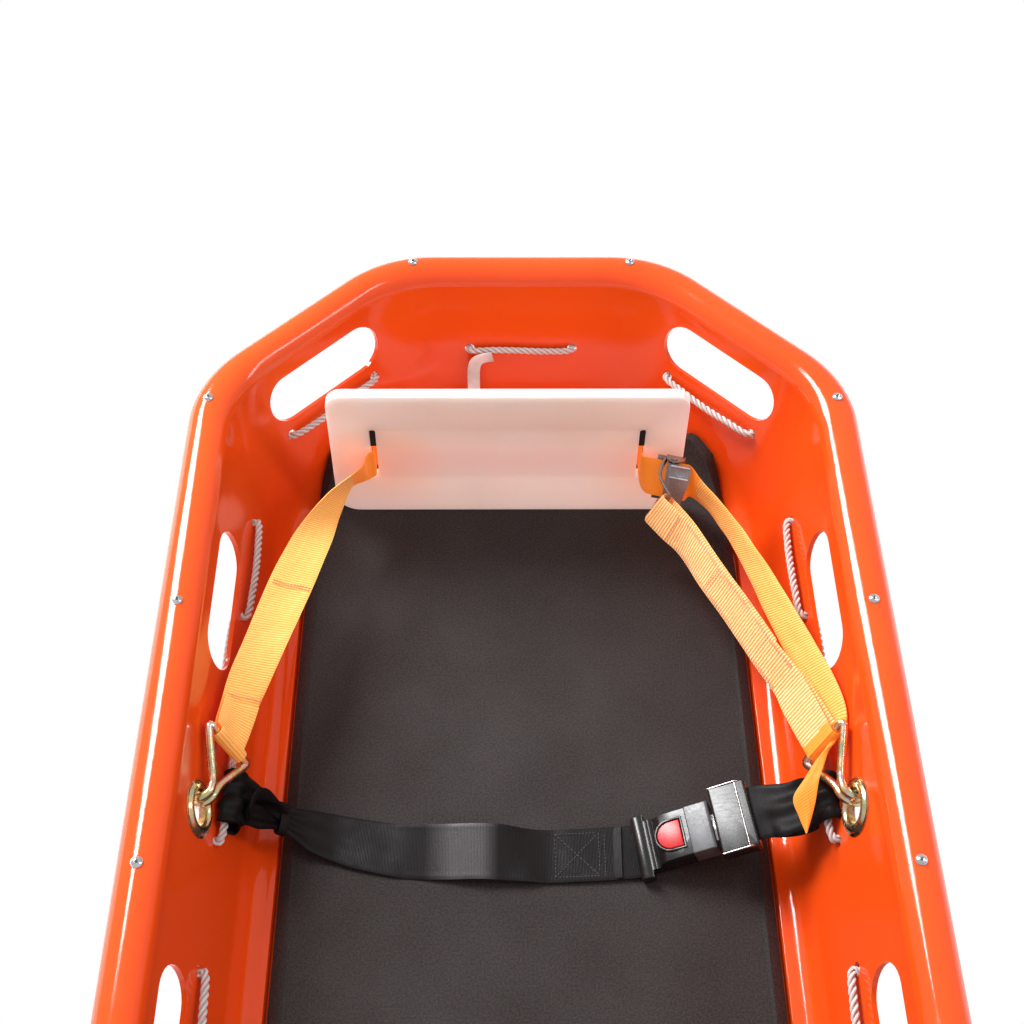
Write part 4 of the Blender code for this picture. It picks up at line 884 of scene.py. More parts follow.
def rope_route():
    inside = ROPE_RADIUS + GAP
    outside = -(WALL + ROPE_RADIUS + 2 * GAP)
    route = []
    for number, (kind, sx, sy, start, stop) in enumerate(rope_runs()):
        bow = ROPE_BOW / 3 if kind == "end_x" else ROPE_BOW
        height = rope_height(kind)
        if kind == "chamfer":
            route += corner_points(sx, sy, 0 if sx == sy else 1)
        middle = wall_frame(z=height, sx=sx, sy=sy, **{kind: (start + stop) / 2}).translation
        for share, depth in ((0.0, outside), (0.0, inside), (0.25, inside + 0.8 * bow),
                             (0.5, inside + bow), (0.75, inside + 0.8 * bow),
                             (1.0, inside), (1.0, outside)):
            at = wall_frame(z=height, sx=sx, sy=sy, **{kind: start + (stop - start) * share})
            point = at @ Vector((0, 0, depth))
            if share in (0.0, 1.0):
                point += (middle - at.translation).normalized() * (0.002 if depth == inside else -0.0025)
            else:
                point.z += 0.0012 * math.sin(2.1 * number + 5 * share)
            route.append(point)
        if kind == "chamfer":
            route += corner_points(sx, sy, 1 if sx == sy else 0)
    return route


def three_strands(angle):
    """Outline of three strands laid together, as a share of the rope's radius."""
    off = (angle + math.pi / 3) % (TURN / 3) - math.pi / 3
    return 0.536 * math.cos(off) + math.sqrt(max(0.464 ** 2 - (0.536 * math.sin(off)) ** 2, 0.0))


def build_rope():
    rows, length = even_rows(rope_route(), 0.0016, True)
    lay = round(length / 0.0205) / length
    verts, faces, uvs = tube(rows, ROPE_RADIUS * 0.9, 24, True, three_strands, lay)
    rope = piece("rope_laid", mesh_of("rope_laid", verts, faces, uvs), laid_white(), BASE, "lacing_rope")


# ---- mat, plate, stay

def mat_half(y):
    at = sorted(MAT_OUTLINE)
    if abs(y) <= at[0][0]:
        return MAT_HALF_WIDTH
    for (y0, w0), (y1, w1) in zip(at, at[1:]):
        if abs(y) <= y1:
            return w0 + (w1 - w0) * (abs(y) - y0) / (y1 - y0)
    return at[-1][1]


def build_mat(skin):
    """Foam sheet that lies on the floor and climbs the end fillets, a little uneven."""
    ys = [0.97 - 0.006 * k for k in range(29)] + [0.79 - 0.02 * k for k in range(40)]
    ys = ys + [-y for y in reversed(ys)]
    shares = [-1, -0.985, -0.96] + [k / 16 - 0.9375 for k in range(31)] + [0.96, 0.985, 1]
    verts = []
    for y in ys:
        half = mat_half(y)
        for share in shares:
            x = half * share
            heights = []
            reach = 0.0065 if abs(x) > 0.175 else 0.001
            for dx, dy in ((0, 0), (reach, 0), (-reach, 0), (0, reach), (0, -reach)):
                hit = skin.ray_cast(Vector((x + dx, y + dy, 0.15)), Vector((0, 0, -1)))[0]
                if hit is not None:
                    heights.append(hit.z)
            rise = max(heights) - SEAT_Z
            wave = noise.noise(Vector((x * 9, y * 9, 0.3))) * 0.5 + noise.noise(Vector((x * 31, y * 31, 2.3))) * 0.2
            lift = 0.0003 + 0.0007 * max(wave, 0.0) + (0.0006 if rise > 0.0001 else 0.0)
            verts.append((x, y, SEAT_Z + rise + lift))
    stride = len(shares)
    corners = [i * stride + j for i in range(len(ys) - 1) for j in range(stride - 1)]
    faces = [(k, k + stride, k + 1 + stride, k + 1) for k in corners]
    mesh = bevelled(thickened("mat_work", verts, faces, MAT_THICKNESS, 1.0), 0.0022, 3, 50)
    mat_piece = piece("foam_mat", mesh, cellular_foam(), BASE, "mat", sharp=60)


def rounded_rectangle(width, height, radius, steps=10):
    outline = []
    for quadrant in range(4):
        start = quadrant * 90
        sx = 1 if quadrant in (0, 3) else -1
        sy = 1 if quadrant in (0, 1) else -1
        for k in range(steps + 1):
            angle = math.radians(start + 90 * k / steps)
            outline.append((sx * (width / 2 - radius) + radius * math.cos(angle),
                            sy * (height / 2 - radius) + radius * math.sin(angle)))
    return outline


def build_plate():
    # Near-black material for painted shadow inside the strap slots.
    slot_shadow, tree, shader = look("slot_shadow_look", (0.012, 0.011, 0.011), 0.7)
    bumps(tree, shader, (spots(tree, 400.0, 2.0), 0.3, 0.0003))
    outline = rounded_rectangle(PLATE_WIDTH, PLATE_HEIGHT, 0.016)[:22]
    outline += rounded_rectangle(PLATE_WIDTH, PLATE_HEIGHT, 0.024)[22:]
    obj = loose("plate_work", mesh_of("plate_work", *prism(outline, -PLATE_THICKNESS / 2, PLATE_THICKNESS / 2)))
    height = MAT_TOP + GAP + PLATE_HEIGHT / 2
    cut(obj, prism(rounded_rectangle(0.0062, 0.072, 0.003, 6), -0.02, 0.02),
        *[Matrix.Translation((s * PLATE_SLOT_SPREAD, PLATE_SLOT_Z - height, 0)) for s in (-1, 1)])
    # Dark boxes in the slots above the straps: painted shadow, not parts of the plate.
    shadow_plugs = [(*box_verts((0.0058, 0.026, 0.008), (s * PLATE_SLOT_SPREAD, 0.1298 - height, -0.001)), HERE)
             for s in (-1, 1)]
    mesh = painted(bevelled(evaluated(obj), 0.0013, 3, 40), milky_plastic())
    mesh = joined_mesh("plate", [mesh, painted(gathered(shadow_plugs), slot_shadow)])
    mesh.transform(Matrix.Translation((PLATE_X, PLATE_FRONT_Y + PLATE_THICKNESS / 2, height)) @ STOOD)
    piece("footrest_panel", mesh, None, "footrest", "footrest_plate", sharp=45)


def build_stay():
    """Flat strip: a flange on the plate's back, a run to the end wall, a bend up to the rope."""
    back = PLATE_FRONT_Y + PLATE_THICKNESS + GAP + 0.0015
    route = [(-0.05, y, z, STAY_WIDTH, 1, 0, 0)
             for y, z in ((back, 0.072), (back, 0.058), (back + 0.001, 0.05), (back + 0.008, 0.0445), (0.94, 0.0441),
                          (0.99, 0.044), (1.003, 0.05), (1.011, 0.064))]
    route += [(-0.0498, 1.0165, 0.086, STAY_WIDTH, 1, 0, -0.1), (-0.047, 1.0183, 0.0962, STAY_WIDTH, 1, 0, -0.6),
              (-0.04, 1.0195, 0.1, STAY_WIDTH, 0.6, 0, -1), (-0.03, 1.02, 0.1018, STAY_WIDTH, 0.2, 0, -1)]
    steel = brushed("stay_steel_look", (0.93, 0.93, 0.94), 0.38, 700.0, (6, 1, 1), metallic=0.15)
    mesh = ribbon(route, steel, columns=6, thickness=0.003, spacing=0.0015)
    piece("stay_strip", mesh, None, "footrest", "footrest_stay", sharp=40)


# ---- footrest webbing, hooks, cam buckle

def strap_rows(stations, spacing=WEAVE_STEP):
    """Finely spaced (middle, across, normal, width, tangent, run, *rest) along stations.

    A station is (x, y, z, width, the direction across as three numbers, *rest).
    """
    rows, length = even_rows([(*s[:4], *Vector(s[4:7]).normalized(), *s[7:]) for s in stations], spacing)
    found = []
    for i, row in enumerate(rows):
        before, after = rows[max(i - 1, 0)], rows[min(i + 1, len(rows) - 1)]
        tangent = (Vector(after[:3]) - Vector(before[:3])).normalized()
        across = Vector(row[4:7]).normalized()
        found.append((Vector(row[:3]), across, tangent.cross(across).normalized(), row[3], tangent,
                      length * i / (len(rows) - 1), *row[7:]))
    return found


def strap_mesh(rows, mat, columns, thickness, shape, flat, full):
    """Strap with fuller edges along rows; shape gives each point's place across, lift and U."""
    verts, uvs = [], []
    for middle, across, normal, width, _, run, *rest in rows:
        for sign in (1, -1):
            for k in range(columns + 1):
                share = k / columns if sign > 0 else 1 - k / columns
                edge = abs(2 * share - 1)
                half = thickness / 2 * (1.0 if edge < flat else full if edge < 0.97 else 0.55)
                aside, lift, u = shape(share, edge, run, width, *rest)
                verts.append(middle + across * aside + normal * (lift + sign * half))
                uvs.append((u, run))
    return painted(mesh_of("strap", verts, loft_faces(len(rows), 2 * (columns + 1)), uvs), mat)


def ribbon(stations, mat, curl=0.0, rough=0.0, seed=0.0, columns=12, thickness=STRAP_THICKNESS, spacing=WEAVE_STEP):
    """Strap with a slight curl and slight waves."""
    def shape(share, edge, run, width):
        bow = curl + rough * noise.noise(Vector((run * 22, seed, 0.0)))
        ripple = rough * noise.noise(Vector((run * 30, share * 3.0, seed + 5.0)))
        aside = (share - 0.5) * width
        return aside, bow * (1 - edge * edge) + ripple, aside
    return strap_mesh(strap_rows(stations, spacing), mat, columns, thickness, shape, 0.75, 1.22)


def bunch(stations, mat, seed, columns, rough=0.0, pleats=0.0, count=3.0, curl=0.0, thickness=BELT_THICKNESS):
    """Strap in soft lengthwise pleats; each station ends with how far it is gathered."""
    def shape(share, edge, run, width, drawn):
        fold = math.sin(TURN * count * share + 1.7 * noise.noise(Vector((run * 25, seed, 3.0)))) * pleats
        ripple = noise.noise(Vector((run * 55, share * 4.0, seed + 5.0))) * rough
        drift = noise.noise(Vector((run * 30, share * 2.0, seed + 9.0))) * rough * drawn
        return (share - 0.5) * width + drift, (fold + ripple) * drawn + curl * (1 - edge * edge), (share - 0.5) * 0.05
    return strap_mesh(strap_rows(stations), mat, columns, thickness, shape, 0.8, 1.15)


def nearest(rows, x, y):
    return min(rows, key=lambda row: (row[0].xy - Vector((x, y))).length)


def seam_across(row, normal, lift, steps, share, sway=0.0):
    """Points of a seam from edge to edge of a strap."""
    p, across, _, width, tangent, *_ = row
    return [(p + across * width * (k / steps - 0.5) * share + normal * lift
             + tangent * sway * math.sin(k * 1.9), normal)
            for k in range(steps + 1)]


def stitches(seams, mat, radius=0.00042, length=0.003, gap=0.0012):
    """Rows of short raised threads along polylines of (point, normal)."""
    verts, faces = [], []
    for seam in seams:
        run, start = 0.0, None
        for (p, n), (q, _) in zip(seam, seam[1:]):
            if start is None:
                start = p
            run += (q - p).length
            if run < length:
                continue
            if (q - start).length > 1e-6:
                side = (q - start).normalized().cross(n).normalized()
                faces += [tuple(len(verts) + v for v in face) for face in loft_faces(5, 6)[:-2]]
                for share, lift in ((0.0, -0.6), (0.2, 0.7), (0.5, 1.0), (0.8, 0.7), (1.0, -0.6)):
                    middle = start + (q - start) * share * (1 - gap / length) + n * radius * lift
                    verts += [middle + side * radius * math.cos(a) + n * radius * 0.8 * math.sin(a)
                              for a in (math.pi * k / 3 for k in range(6))]
            run, start = 0.0, q
    return painted(mesh_of("threads", verts, faces), mat)


def hook_bar(side):
    return Vector((side * HOOK_BAR_AT[0], *HOOK_BAR_AT[1:]))


def hook_across(side):
    return Vector((side * 0.5, 0.28, 0.82)).normalized()


def outward(normal):
    return normal if normal.z > 0 else -normal


def cam_point(x, y):
    return CAM_ORIGIN + CAM_TURN @ Vector((x, y, 0))


def strap_loop(bar, last, across, bar_radius, width, turns=(60, 95, 130, 165, 195, 230, 265, 300)):
    """Stations of a strap's turn round a bar, starting on the side of the strap's last point."""
    run = Vector(last[:3]) - bar
    run = (run - across * run.dot(across)).normalized()
    out = across.cross(run)
    radius = bar_radius + GAP + STRAP_THICKNESS / 2 + 0.0006
    return [(*(bar + run * radius * math.cos(math.radians(t)) + out * radius * math.sin(math.radians(t))),
             width, *across) for t in turns]


def starting_near(rows, point):
    """The rows, turned round if their other end is nearer to the point."""
    return rows if math.dist(rows[0][:3], point[:3]) <= math.dist(rows[-1][:3], point[:3]) else rows[::-1]


def joined_mesh(name, meshes):
    """Several meshes as one, with their UVs and material slots kept."""
    objs = [loose("part", mesh) for mesh in meshes]
    with bpy.context.temp_override(active_object=objs[0], selected_editable_objects=objs):
        bpy.ops.object.join()
    mesh = objs[0].data
    bpy.data.objects.remove(objs[0], do_unlink=True)
    mesh.name = name
    return mesh


def placed(mesh, matrix):
    mesh = mesh.copy()
    mesh.transform(matrix)
    return mesh


def painted(mesh, mat):
    mesh.materials.clear()
    mesh.materials.append(mat)
    return mesh


def shade(mesh, mat, inside):
    """Give the faces whose middle passes the test a second material."""
    mesh.materials.append(mat)
    for face in mesh.polygons:
        if inside(face.center):
            face.material_index = len(mesh.materials) - 1


def wisp(start, *turns):
    """A loose thread end that curls away."""
    points = [Vector(start)]
    for turn in turns:
        points.append(points[-1] + Vector(turn))
    return (*wire(points, 0.001, 0.00022, 5)[:2], HERE)


def build_rear(in_shade):
    """From slot to slot behind the plate, and on to the cam buckle."""
    left_slot, right_slot = PLATE_X - PLATE_SLOT_SPREAD, PLATE_X + PLATE_SLOT_SPREAD
    back = PLATE_FRONT_Y + PLATE_THICKNESS + GAP + STRAP_THICKNESS / 2 + 0.0012
    rear = [(x, y, STRAP_Z, STRAP_WIDTH, 0, 0, 1) for x, y in (
        (left_slot - 0.004, STRAP_FRONT), (left_slot, STRAP_FRONT + 0.003), (left_slot, back - 0.003),
        (left_slot + 0.003, back), (left_slot + 0.06, back + 0.0006), (right_slot - 0.06, back + 0.0004),
        (right_slot - 0.003, back), (right_slot, back - 0.003), (right_slot, STRAP_FRONT + 0.001))]
    rear += [(right_slot + 0.001, STRAP_FRONT - 0.007, STRAP_Z, STRAP_WIDTH, 0.02, 0.12, 1),
             (right_slot + 0.005, STRAP_FRONT - 0.012, STRAP_Z, STRAP_WIDTH, 0.08, 0.36, 0.93),
             (*cam_point(-0.019, CAM_STRAP_Y), STRAP_WIDTH, *CAM_LEAN),
             (*cam_point(0.0115, CAM_STRAP_Y), STRAP_WIDTH, *CAM_LEAN)]
    # The whole strap behind the plate takes the shaded orange: painted shade.
    mesh = ribbon(rear, in_shade, 0, 0.0002, 1)
    piece("strap_behind_plate", mesh, None, "footrest", "footrest_strap_rear", sharp=60)


def build_left(orange, in_shade, pink):
    """From the left hook to the left slot, with the ply that is sewn back on it."""
    slot = PLATE_X - PLATE_SLOT_SPREAD
    left = [(slot - 0.004, STRAP_FRONT - 0.0008, STRAP_Z + 0.001, 0.0385, 0, 0, 1),
            (slot - 0.0072, STRAP_FRONT - 0.0048, STRAP_Z + 0.0005, 0.0385, -0.02, -0.1, 1),
            (-0.157, 0.868, 0.0955, 0.0385, 0.02, -0.25, 0.96), (-0.167, 0.857, 0.0982, 0.038, 0.09, -0.36, 0.93),
            (-0.1745, 0.844, 0.101, 0.038, -0.1, -0.39, 0.91), (-0.182, 0.8293, 0.1035, 0.038, -0.35, -0.4, 0.85),
            (-0.1918, 0.8014, 0.108, 0.038, -0.63, -0.27, 0.72), (-0.2041, 0.7611, 0.1125, 0.0385, -0.93, 0.01, 0.36),
            (-0.2164, 0.7168, 0.1155, 0.0405, -0.96, 0.1, 0.26), (-0.2328, 0.6518, 0.12, 0.0385, -0.97, 0.0, 0.22),
            (-0.242, 0.615, 0.1228, 0.038, -0.9, -0.06, 0.45), (-0.2485, 0.5817, 0.1255, 0.038, -0.71, -0.14, 0.69)]
    bar, bar_across = hook_bar(-1), hook_across(-1)
    loop = strap_loop(bar, left[-1], bar_across, HOOK_WIRE, STRAP_WIDTH * 0.92)
    strap = ribbon(left + loop, orange, 0.0006, 0.0006, 2)
    # Painted shade: the stretch near the slot takes the shaded orange.
    shade(strap, in_shade, lambda c: c.x > -0.168)
    rows = strap_rows(left, 0.001)
    ply = []
    for x, y, lift, width in ((-0.2462, 0.596, 0.0019, 0.03), (-0.248, 0.585, 0.002, 0.036),
                              (-0.2505, 0.572, 0.0026, 0.0365)):
        p, across, normal, *_ = nearest(rows, x, y)
        ply.append((*(p + outward(normal) * lift), width, *across))
    ply.append((*(bar + Vector((0.0022, 0.004, 0.0062))), 0.036, *bar_across))
    back_ply = [(x - 0.004, y - 0.002, z - 0.0035, width * 0.9, *across) for x, y, z, width, *across in ply]
    seams = []
    for x, y in ((-0.2166, 0.718), (-0.2167, 0.715), (-0.2468, 0.59)):
        row = nearest(rows, x, y)
        seams.append(seam_across(row, outward(row[2]), 0.0032 if y < 0.6 else STRAP_THICKNESS * 0.7, 40, 0.9, 0.0006))
    # The back ply is painted in the shaded orange: painted shade.
    mesh = joined_mesh("strap_left", [strap, ribbon(ply, orange, 0.001, 0.0003, 3, 8),
                                      ribbon(back_ply, in_shade, 0.001, 0.0003, 5, 8),
                                      stitches(seams, pink, 0.00045, 0.0028, 0.001)])
    blended("strap_left", mesh, "footrest_strap_left")


def build_sewn(ribbed, in_shade, pink):
    """One webbing sewn to itself: a loop round the buckle's bar, two plies, a loop round the hook's bar."""
    middle = ((0.237, 0.588, 0.124, 0.47, 0.2, 0.86, 0.0022), (0.23, 0.608, 0.1225, 0.4, 0.13, 0.91, 0.0013),
              (0.215, 0.64, 0.1185, 0.35, 0.12, 0.93, 0.0011), (0.1958, 0.6869, 0.1129, 0.35, 0.1, 0.93, 0.0011),
              (0.1755, 0.7336, 0.1069, 0.35, 0.1, 0.92, 0.0012), (0.158, 0.779, 0.1, 0.28, 0.16, 0.94, 0.002),
              (0.1452, 0.801, 0.0968, 0.36, 0.14, 0.92, 0.0036))
    plies = []
    for sign in (1, -1):
        ply = []
        for k, (x, y, z, *across, spread) in enumerate(middle):
            before, after = Vector(middle[max(k - 1, 0)][:3]), Vector(middle[min(k + 1, len(middle) - 1)][:3])
            out = (after - before).cross(Vector(across)).normalized()
            ply.append((*(Vector((x, y, z)) + out * spread * sign), STRAP_WIDTH, *across))
        plies.append(ply)
    first, second = plies
    turns = range(75, 300, 30)
    cam_loop = strap_loop(CAM_BAR, middle[-1], CAM_BAR_ALONG, CAM_BAR_ROOM, STRAP_WIDTH * 0.94, turns)
    hook_loop = strap_loop(hook_bar(1), middle[0], hook_across(1), HOOK_WIRE, STRAP_WIDTH * 0.92, turns)
    path = first[2:] + starting_near(cam_loop, first[-1])
    path += second[::-1] + starting_near(hook_loop, second[0]) + first[:2]
    strap = ribbon(path, ribbed, 0.0004, 0.0005, 7)
    # Painted shade on the loop round the hook's bar.
    shade(strap, in_shade, lambda c: (c - hook_bar(1)).cross(hook_across(1)).length < 0.009)
    seams = []
    for sign, ply in ((1, first), (-1, second)):
        rows = strap_rows(ply[1:], 0.0012)
        for share in (-0.43, -0.38, 0.38, 0.43):
            seams.append([(p + a * w * share + n * sign * STRAP_THICKNESS * 0.55, n * sign)
                          for p, a, n, w, *_ in rows[4:-14]])
        for place in (0.645, 0.7255, 0.729, 0.796):
            row = min(rows, key=lambda row: abs(row[0].y - place))
            seams.append(seam_across(row, row[2] * sign, STRAP_THICKNESS * 0.6, 20, 0.86))
    root = Vector((0.196, 0.69, 0.129))
    ends = [wisp(root, (0.002, -0.002, 0.003), (0.003, -0.001, 0.001), (0.001, 0.003, -0.002)),
            wisp(root + Vector((-0.012, 0.026, -0.002)), (-0.002, -0.002, 0.003), (-0.003, 0.001, 0.002)),
            wisp(root + Vector((0.004, -0.01, 0)), (0.003, 0.001, 0.002), (0.002, 0.003, 0), (-0.002, 0.003, 0))]
    mesh = joined_mesh("strap_sewn", [strap, stitches(seams, pink), painted(gathered(ends), pink)])
    blended("strap_sewn", mesh, "footrest_strap_sewn")


def build_free(orange, in_shade):
    """From the cam buckle to the hook, where its end is tucked through and hangs down."""
    bow = [(*cam_point(0.0118, CAM_STRAP_Y), 0.038, *CAM_LEAN),
           (*cam_point(0.015, CAM_STRAP_Y - 0.0012), 0.038, *CAM_LEAN),
           (0.17, 0.845, 0.0985, 0.038, 0.16, -0.2, 0.96), (0.1845, 0.82, 0.1045, 0.038, 0.21, -0.43, 0.88),
           (0.196, 0.793, 0.1092, 0.038, 0.27, -0.47, 0.84), (0.206, 0.7665, 0.1135, 0.039, 0.31, -0.49, 0.82),
           (0.219, 0.727, 0.1182, 0.039, 0.38, -0.4, 0.83), (0.2297, 0.6886, 0.1225, 0.039, 0.44, -0.31, 0.84),
           (0.2405, 0.652, 0.1268, 0.038, 0.48, -0.2, 0.85), (0.2494, 0.6217, 0.1305, 0.037, 0.51, -0.11, 0.85),
           (0.2575, 0.595, 0.133, 0.036, 0.48, -0.08, 0.87), (0.2624, 0.5738, 0.135, 0.034, 0.45, -0.06, 0.89),
           (0.2655, 0.559, 0.1362, 0.026, 0.4, -0.3, 0.88), (0.264, 0.548, 0.1365, 0.018, 0.3, -0.6, 0.75),
           (0.259, 0.5385, 0.1365, 0.0115, 0.5, 0.4, 0.7), (0.254, 0.5335, 0.1342, 0.012, 0.76, 0.45, 0.46),
           (0.2488, 0.5279, 0.131, 0.015, 0.78, 0.48, 0.4), (0.2415, 0.5155, 0.126, 0.0205, 0.82, 0.44, 0.38),
           (0.2342, 0.5027, 0.121, 0.0265, 0.82, 0.44, 0.38), (0.2338, 0.486, 0.1132, 0.0155, 0.84, 0.4, 0.36),
           (0.233, 0.47, 0.1056, 0.0015, 0.84, 0.4, 0.36)]
    mesh = ribbon(bow, orange, 0.0008, 0.0009, 11)
    # Painted shade on the strap's first stretch from the buckle and on its tucked end.
    shade(mesh, in_shade, lambda c: c.y > 0.842 or c.y < 0.556)
    blended("strap_free", mesh, "footrest_strap_free")


def build_hook(gold, side):
    """Double hook of one bent wire: a bar in the strap's loop, two legs, two curls in the eyelet."""
    at = wall_frame(side_y=EYE_Y, z=EYE_Z, sx=side)
    normal = at.to_3x3() @ Vector((0, 0, 1))
    centre = at.translation - normal * WALL / 2
    bar = hook_bar(side)
    run = bar - centre
    run = (run - normal * run.dot(normal)).normalized()
    across = outward(normal.cross(run))
    seat = math.sqrt((EYE_HOLE - 6 * GAP - HOOK_WIRE) ** 2 - (HOOK_PAIR / 2) ** 2)
    bend = centre + run * (seat + HOOK_BEND)
    curl = [bend + run * HOOK_BEND * math.cos(a) + normal * HOOK_BEND * math.sin(a)
            for a in (math.radians(degrees) for degrees in range(290, 95, -15))]
    away = (bar - bend).normalized()
    legs = []
    for sign in (-1, 1):
        end = hook_across(side) * (sign * HOOK_BAR / 2)
        leg = [p + across * (sign * HOOK_PAIR / 2) for p in curl]
        leg.append(leg[-1].lerp(bar + end, 0.25) - end * 0.08)
        leg += [bar + end - away * 0.0045, bar + end * 0.97 - away * 0.0012, bar + end * 0.82]
        legs.append(leg)
    mesh = mesh_of("hook", *wire(legs[0] + legs[1][::-1], 0.0012, HOOK_WIRE, 20))
    name = "hook_left" if side < 0 else "hook_right"
    piece("double_" + name, mesh, gold, name + "_body", name, sharp=60)


def build_cam_frame(steel):
    """Plate with two cheeks, and the bar of the sewn strap on two arms."""
    cheek = [(-0.009, 0.0035), (0.01, 0.0035), (0.01, -0.004), (0.007, -0.0095), (0.0035, -0.012),
             (-0.0005, -0.0128), (-0.0045, -0.0118), (-0.008, -0.008)]
    obj = loose("cam_work", mesh_of("cam_work", *box_verts((0.0275, 0.0016, CAM_SPAN), (-0.00375, 0.0027, 0))))
    for sign in (-1, 1):
        low = sign * (CAM_SPAN / 2 + 0.0006) - 0.0008
        cut(obj, prism(cheek, low, low + 0.0016), operation="UNION")
    cut(obj, rod(0.0025, 0.04, 24), CAM_PIN)
    mesh = bevelled(evaluated(obj), 0.0004, 2, 40)
    mesh.transform(CAM_PLACE)
    reach = CAM_BAR_ALONG * 0.0215
    bar = mesh_of("bar", *wire((CAM_BAR - reach, CAM_BAR, CAM_BAR + reach), 0.002, 0.0022, 16))
    parts = [painted(mesh, steel), painted(bar, steel)]
    for sign, x, y, z in ((-1, -0.013, -0.018, -0.03), (1, -0.0108, -0.024, 0.012)):
        start = cam_point(-0.0086, -0.002) + CAM_LEAN * sign * (CAM_SPAN / 2 + 0.0002)
        end = CAM_BAR + CAM_BAR_ALONG * sign * 0.021
        flat = (end - start).cross(CAM_BAR_ALONG).normalized()
        arm = [(*p, width, *flat)
               for p, width in ((start, 0.005), (cam_point(x, y) + CAM_LEAN * z, 0.0036), (end, 0.0044))]
        parts.append(ribbon(arm, steel, columns=4, thickness=0.0015, spacing=0.0015))
    mesh = joined_mesh("cam_frame", parts)
    piece("cam_frame", mesh, None, "footrest", "cam_buckle_frame", sharp=40)


def build_cam_pin(steel):
    end = CAM_SPAN / 2 + 0.0026
    head = [(0.0022, end - 0.001), (0.0029, end - 0.001), (0.0029, end), (0.002, end + 0.0004), (0, end + 0.0006)]
    pin = mesh_of("pin", *lathe([(r, -z) for r, z in reversed(head)] + head, 28))
    pin.transform(CAM_PLACE @ CAM_PIN)
    piece("cam_pin", pin, steel, "footrest", "cam_buckle_pin", sharp=35)


def build_cam_lever(dark, edge):
    """Toothed roller with a thumb plate that has two ridges and a plain round dimple; the ridges and the dimple's rim
    are painted bright as highlights.
    """
    half = (CAM_SPAN - 0.004) / 2
    radii = [0.0058 - (0.0009 if k % 3 == 1 else 0.0) for k in range(48)]
    teeth = [(r * math.cos(TURN * k / 48), r * math.sin(TURN * k / 48)) for k, r in enumerate(radii)]
    lever = loose("lever_work", mesh_of("lever", *prism(teeth, -half, half)))
    outline = [(-0.003, half), (0.016, half), (0.018, half - 0.002), (0.018, half * 0.2), (0.014, -half + 0.004),
               (0.012, -half), (0.001, -half), (-0.001, -half + 0.004), (-0.003, half * 0.2)]
    cut(lever, prism(outline, -0.0009, 0.0009), Matrix.Translation((0, -0.0048, 0)) @ STOOD, operation="UNION")
    ridge = lathe(((0, -0.0095), (0.0009, -0.009), (0.0009, 0.009), (0, 0.0095)), 12)
    for z in (half - 0.0009, half * 0.38):
        cut(lever, ridge, Matrix.Translation((0.0075, -0.0056, z)) @ Matrix.Rotation(math.radians(90), 4, "Y"),
            operation="UNION")
    ring = Vector((0.0085, 0, half * 0.7))
    dimple = lathe(((0, -0.003), (0.0042, -0.003), (0.0046, 0.0), (0.0046, 0.003), (0, 0.003)), 32)
    cut(lever, dimple, Matrix.Translation((ring.x, -0.0081, ring.z)) @ STOOD)
    cut(lever, rod(0.0026, 0.04, 24))
    mesh = painted(bevelled(evaluated(lever), 0.0003, 2, 40), dark)
    # Painted highlights: the ridges and the dimple's rim take the near-white steel.
    shade(mesh, edge, lambda c: c.y < -0.00585 or (c.y < -0.0048 and 0.0036 < (c.xz - ring.xz).length < 0.0047))
    mesh.transform(CAM_PLACE @ CAM_PIN)
    piece("cam_lever", mesh, None, "cam_lever", "cam_buckle_lever", sharp=40)


# ---- belts

def wrap(x, z, radius, start, stop, steps):
    """Points of an arc in XZ."""
    angles = [math.radians(start + (stop - start) * k / steps) for k in range(steps + 1)]
    return [(x + radius * math.cos(a), z + radius * math.sin(a)) for a in angles]


def belt_drift(x):
    """How far aside the middle of a belt lies at x."""
    k = 0
    while k < len(BELT_PLAN) - 2 and x > BELT_PLAN[k + 1][0]:
        k += 1
    start, stop = BELT_PLAN[k][0], BELT_PLAN[k + 1][0]
    return BELT_CURVE(k + min(max((x - start) / (stop - start), 0.0), 1.0))[1]


BELT_CURVE, _ = spline(BELT_PLAN)


def solid(verts_faces, width=0.0008, segments=2):
    return bevelled(mesh_of("solid", *verts_faces), width, segments, 30)


def slab(points, reach):
    """A polygon in XZ as a solid that reaches as far to both sides."""
    count = len(points)
    verts = [(x, y, z) for y in (-reach, reach) for x, z in points]
    faces = [tuple(range(count)), tuple(reversed(range(count, 2 * count)))]
    faces += [(k, k + count, (k + 1) % count + count, (k + 1) % count) for k in range(count)]
    return verts, faces


def button_outline(extra, steps=24):
    radius = BUTTON_RADIUS + extra
    angles = [math.radians(90 + 180 * k / steps) for k in range(steps + 1)]
    return [(0.0095 + extra, -radius), (0.0095 + extra, radius)] + [(radius * math.cos(a), radius * math.sin(a))
                                                                   for a in angles]


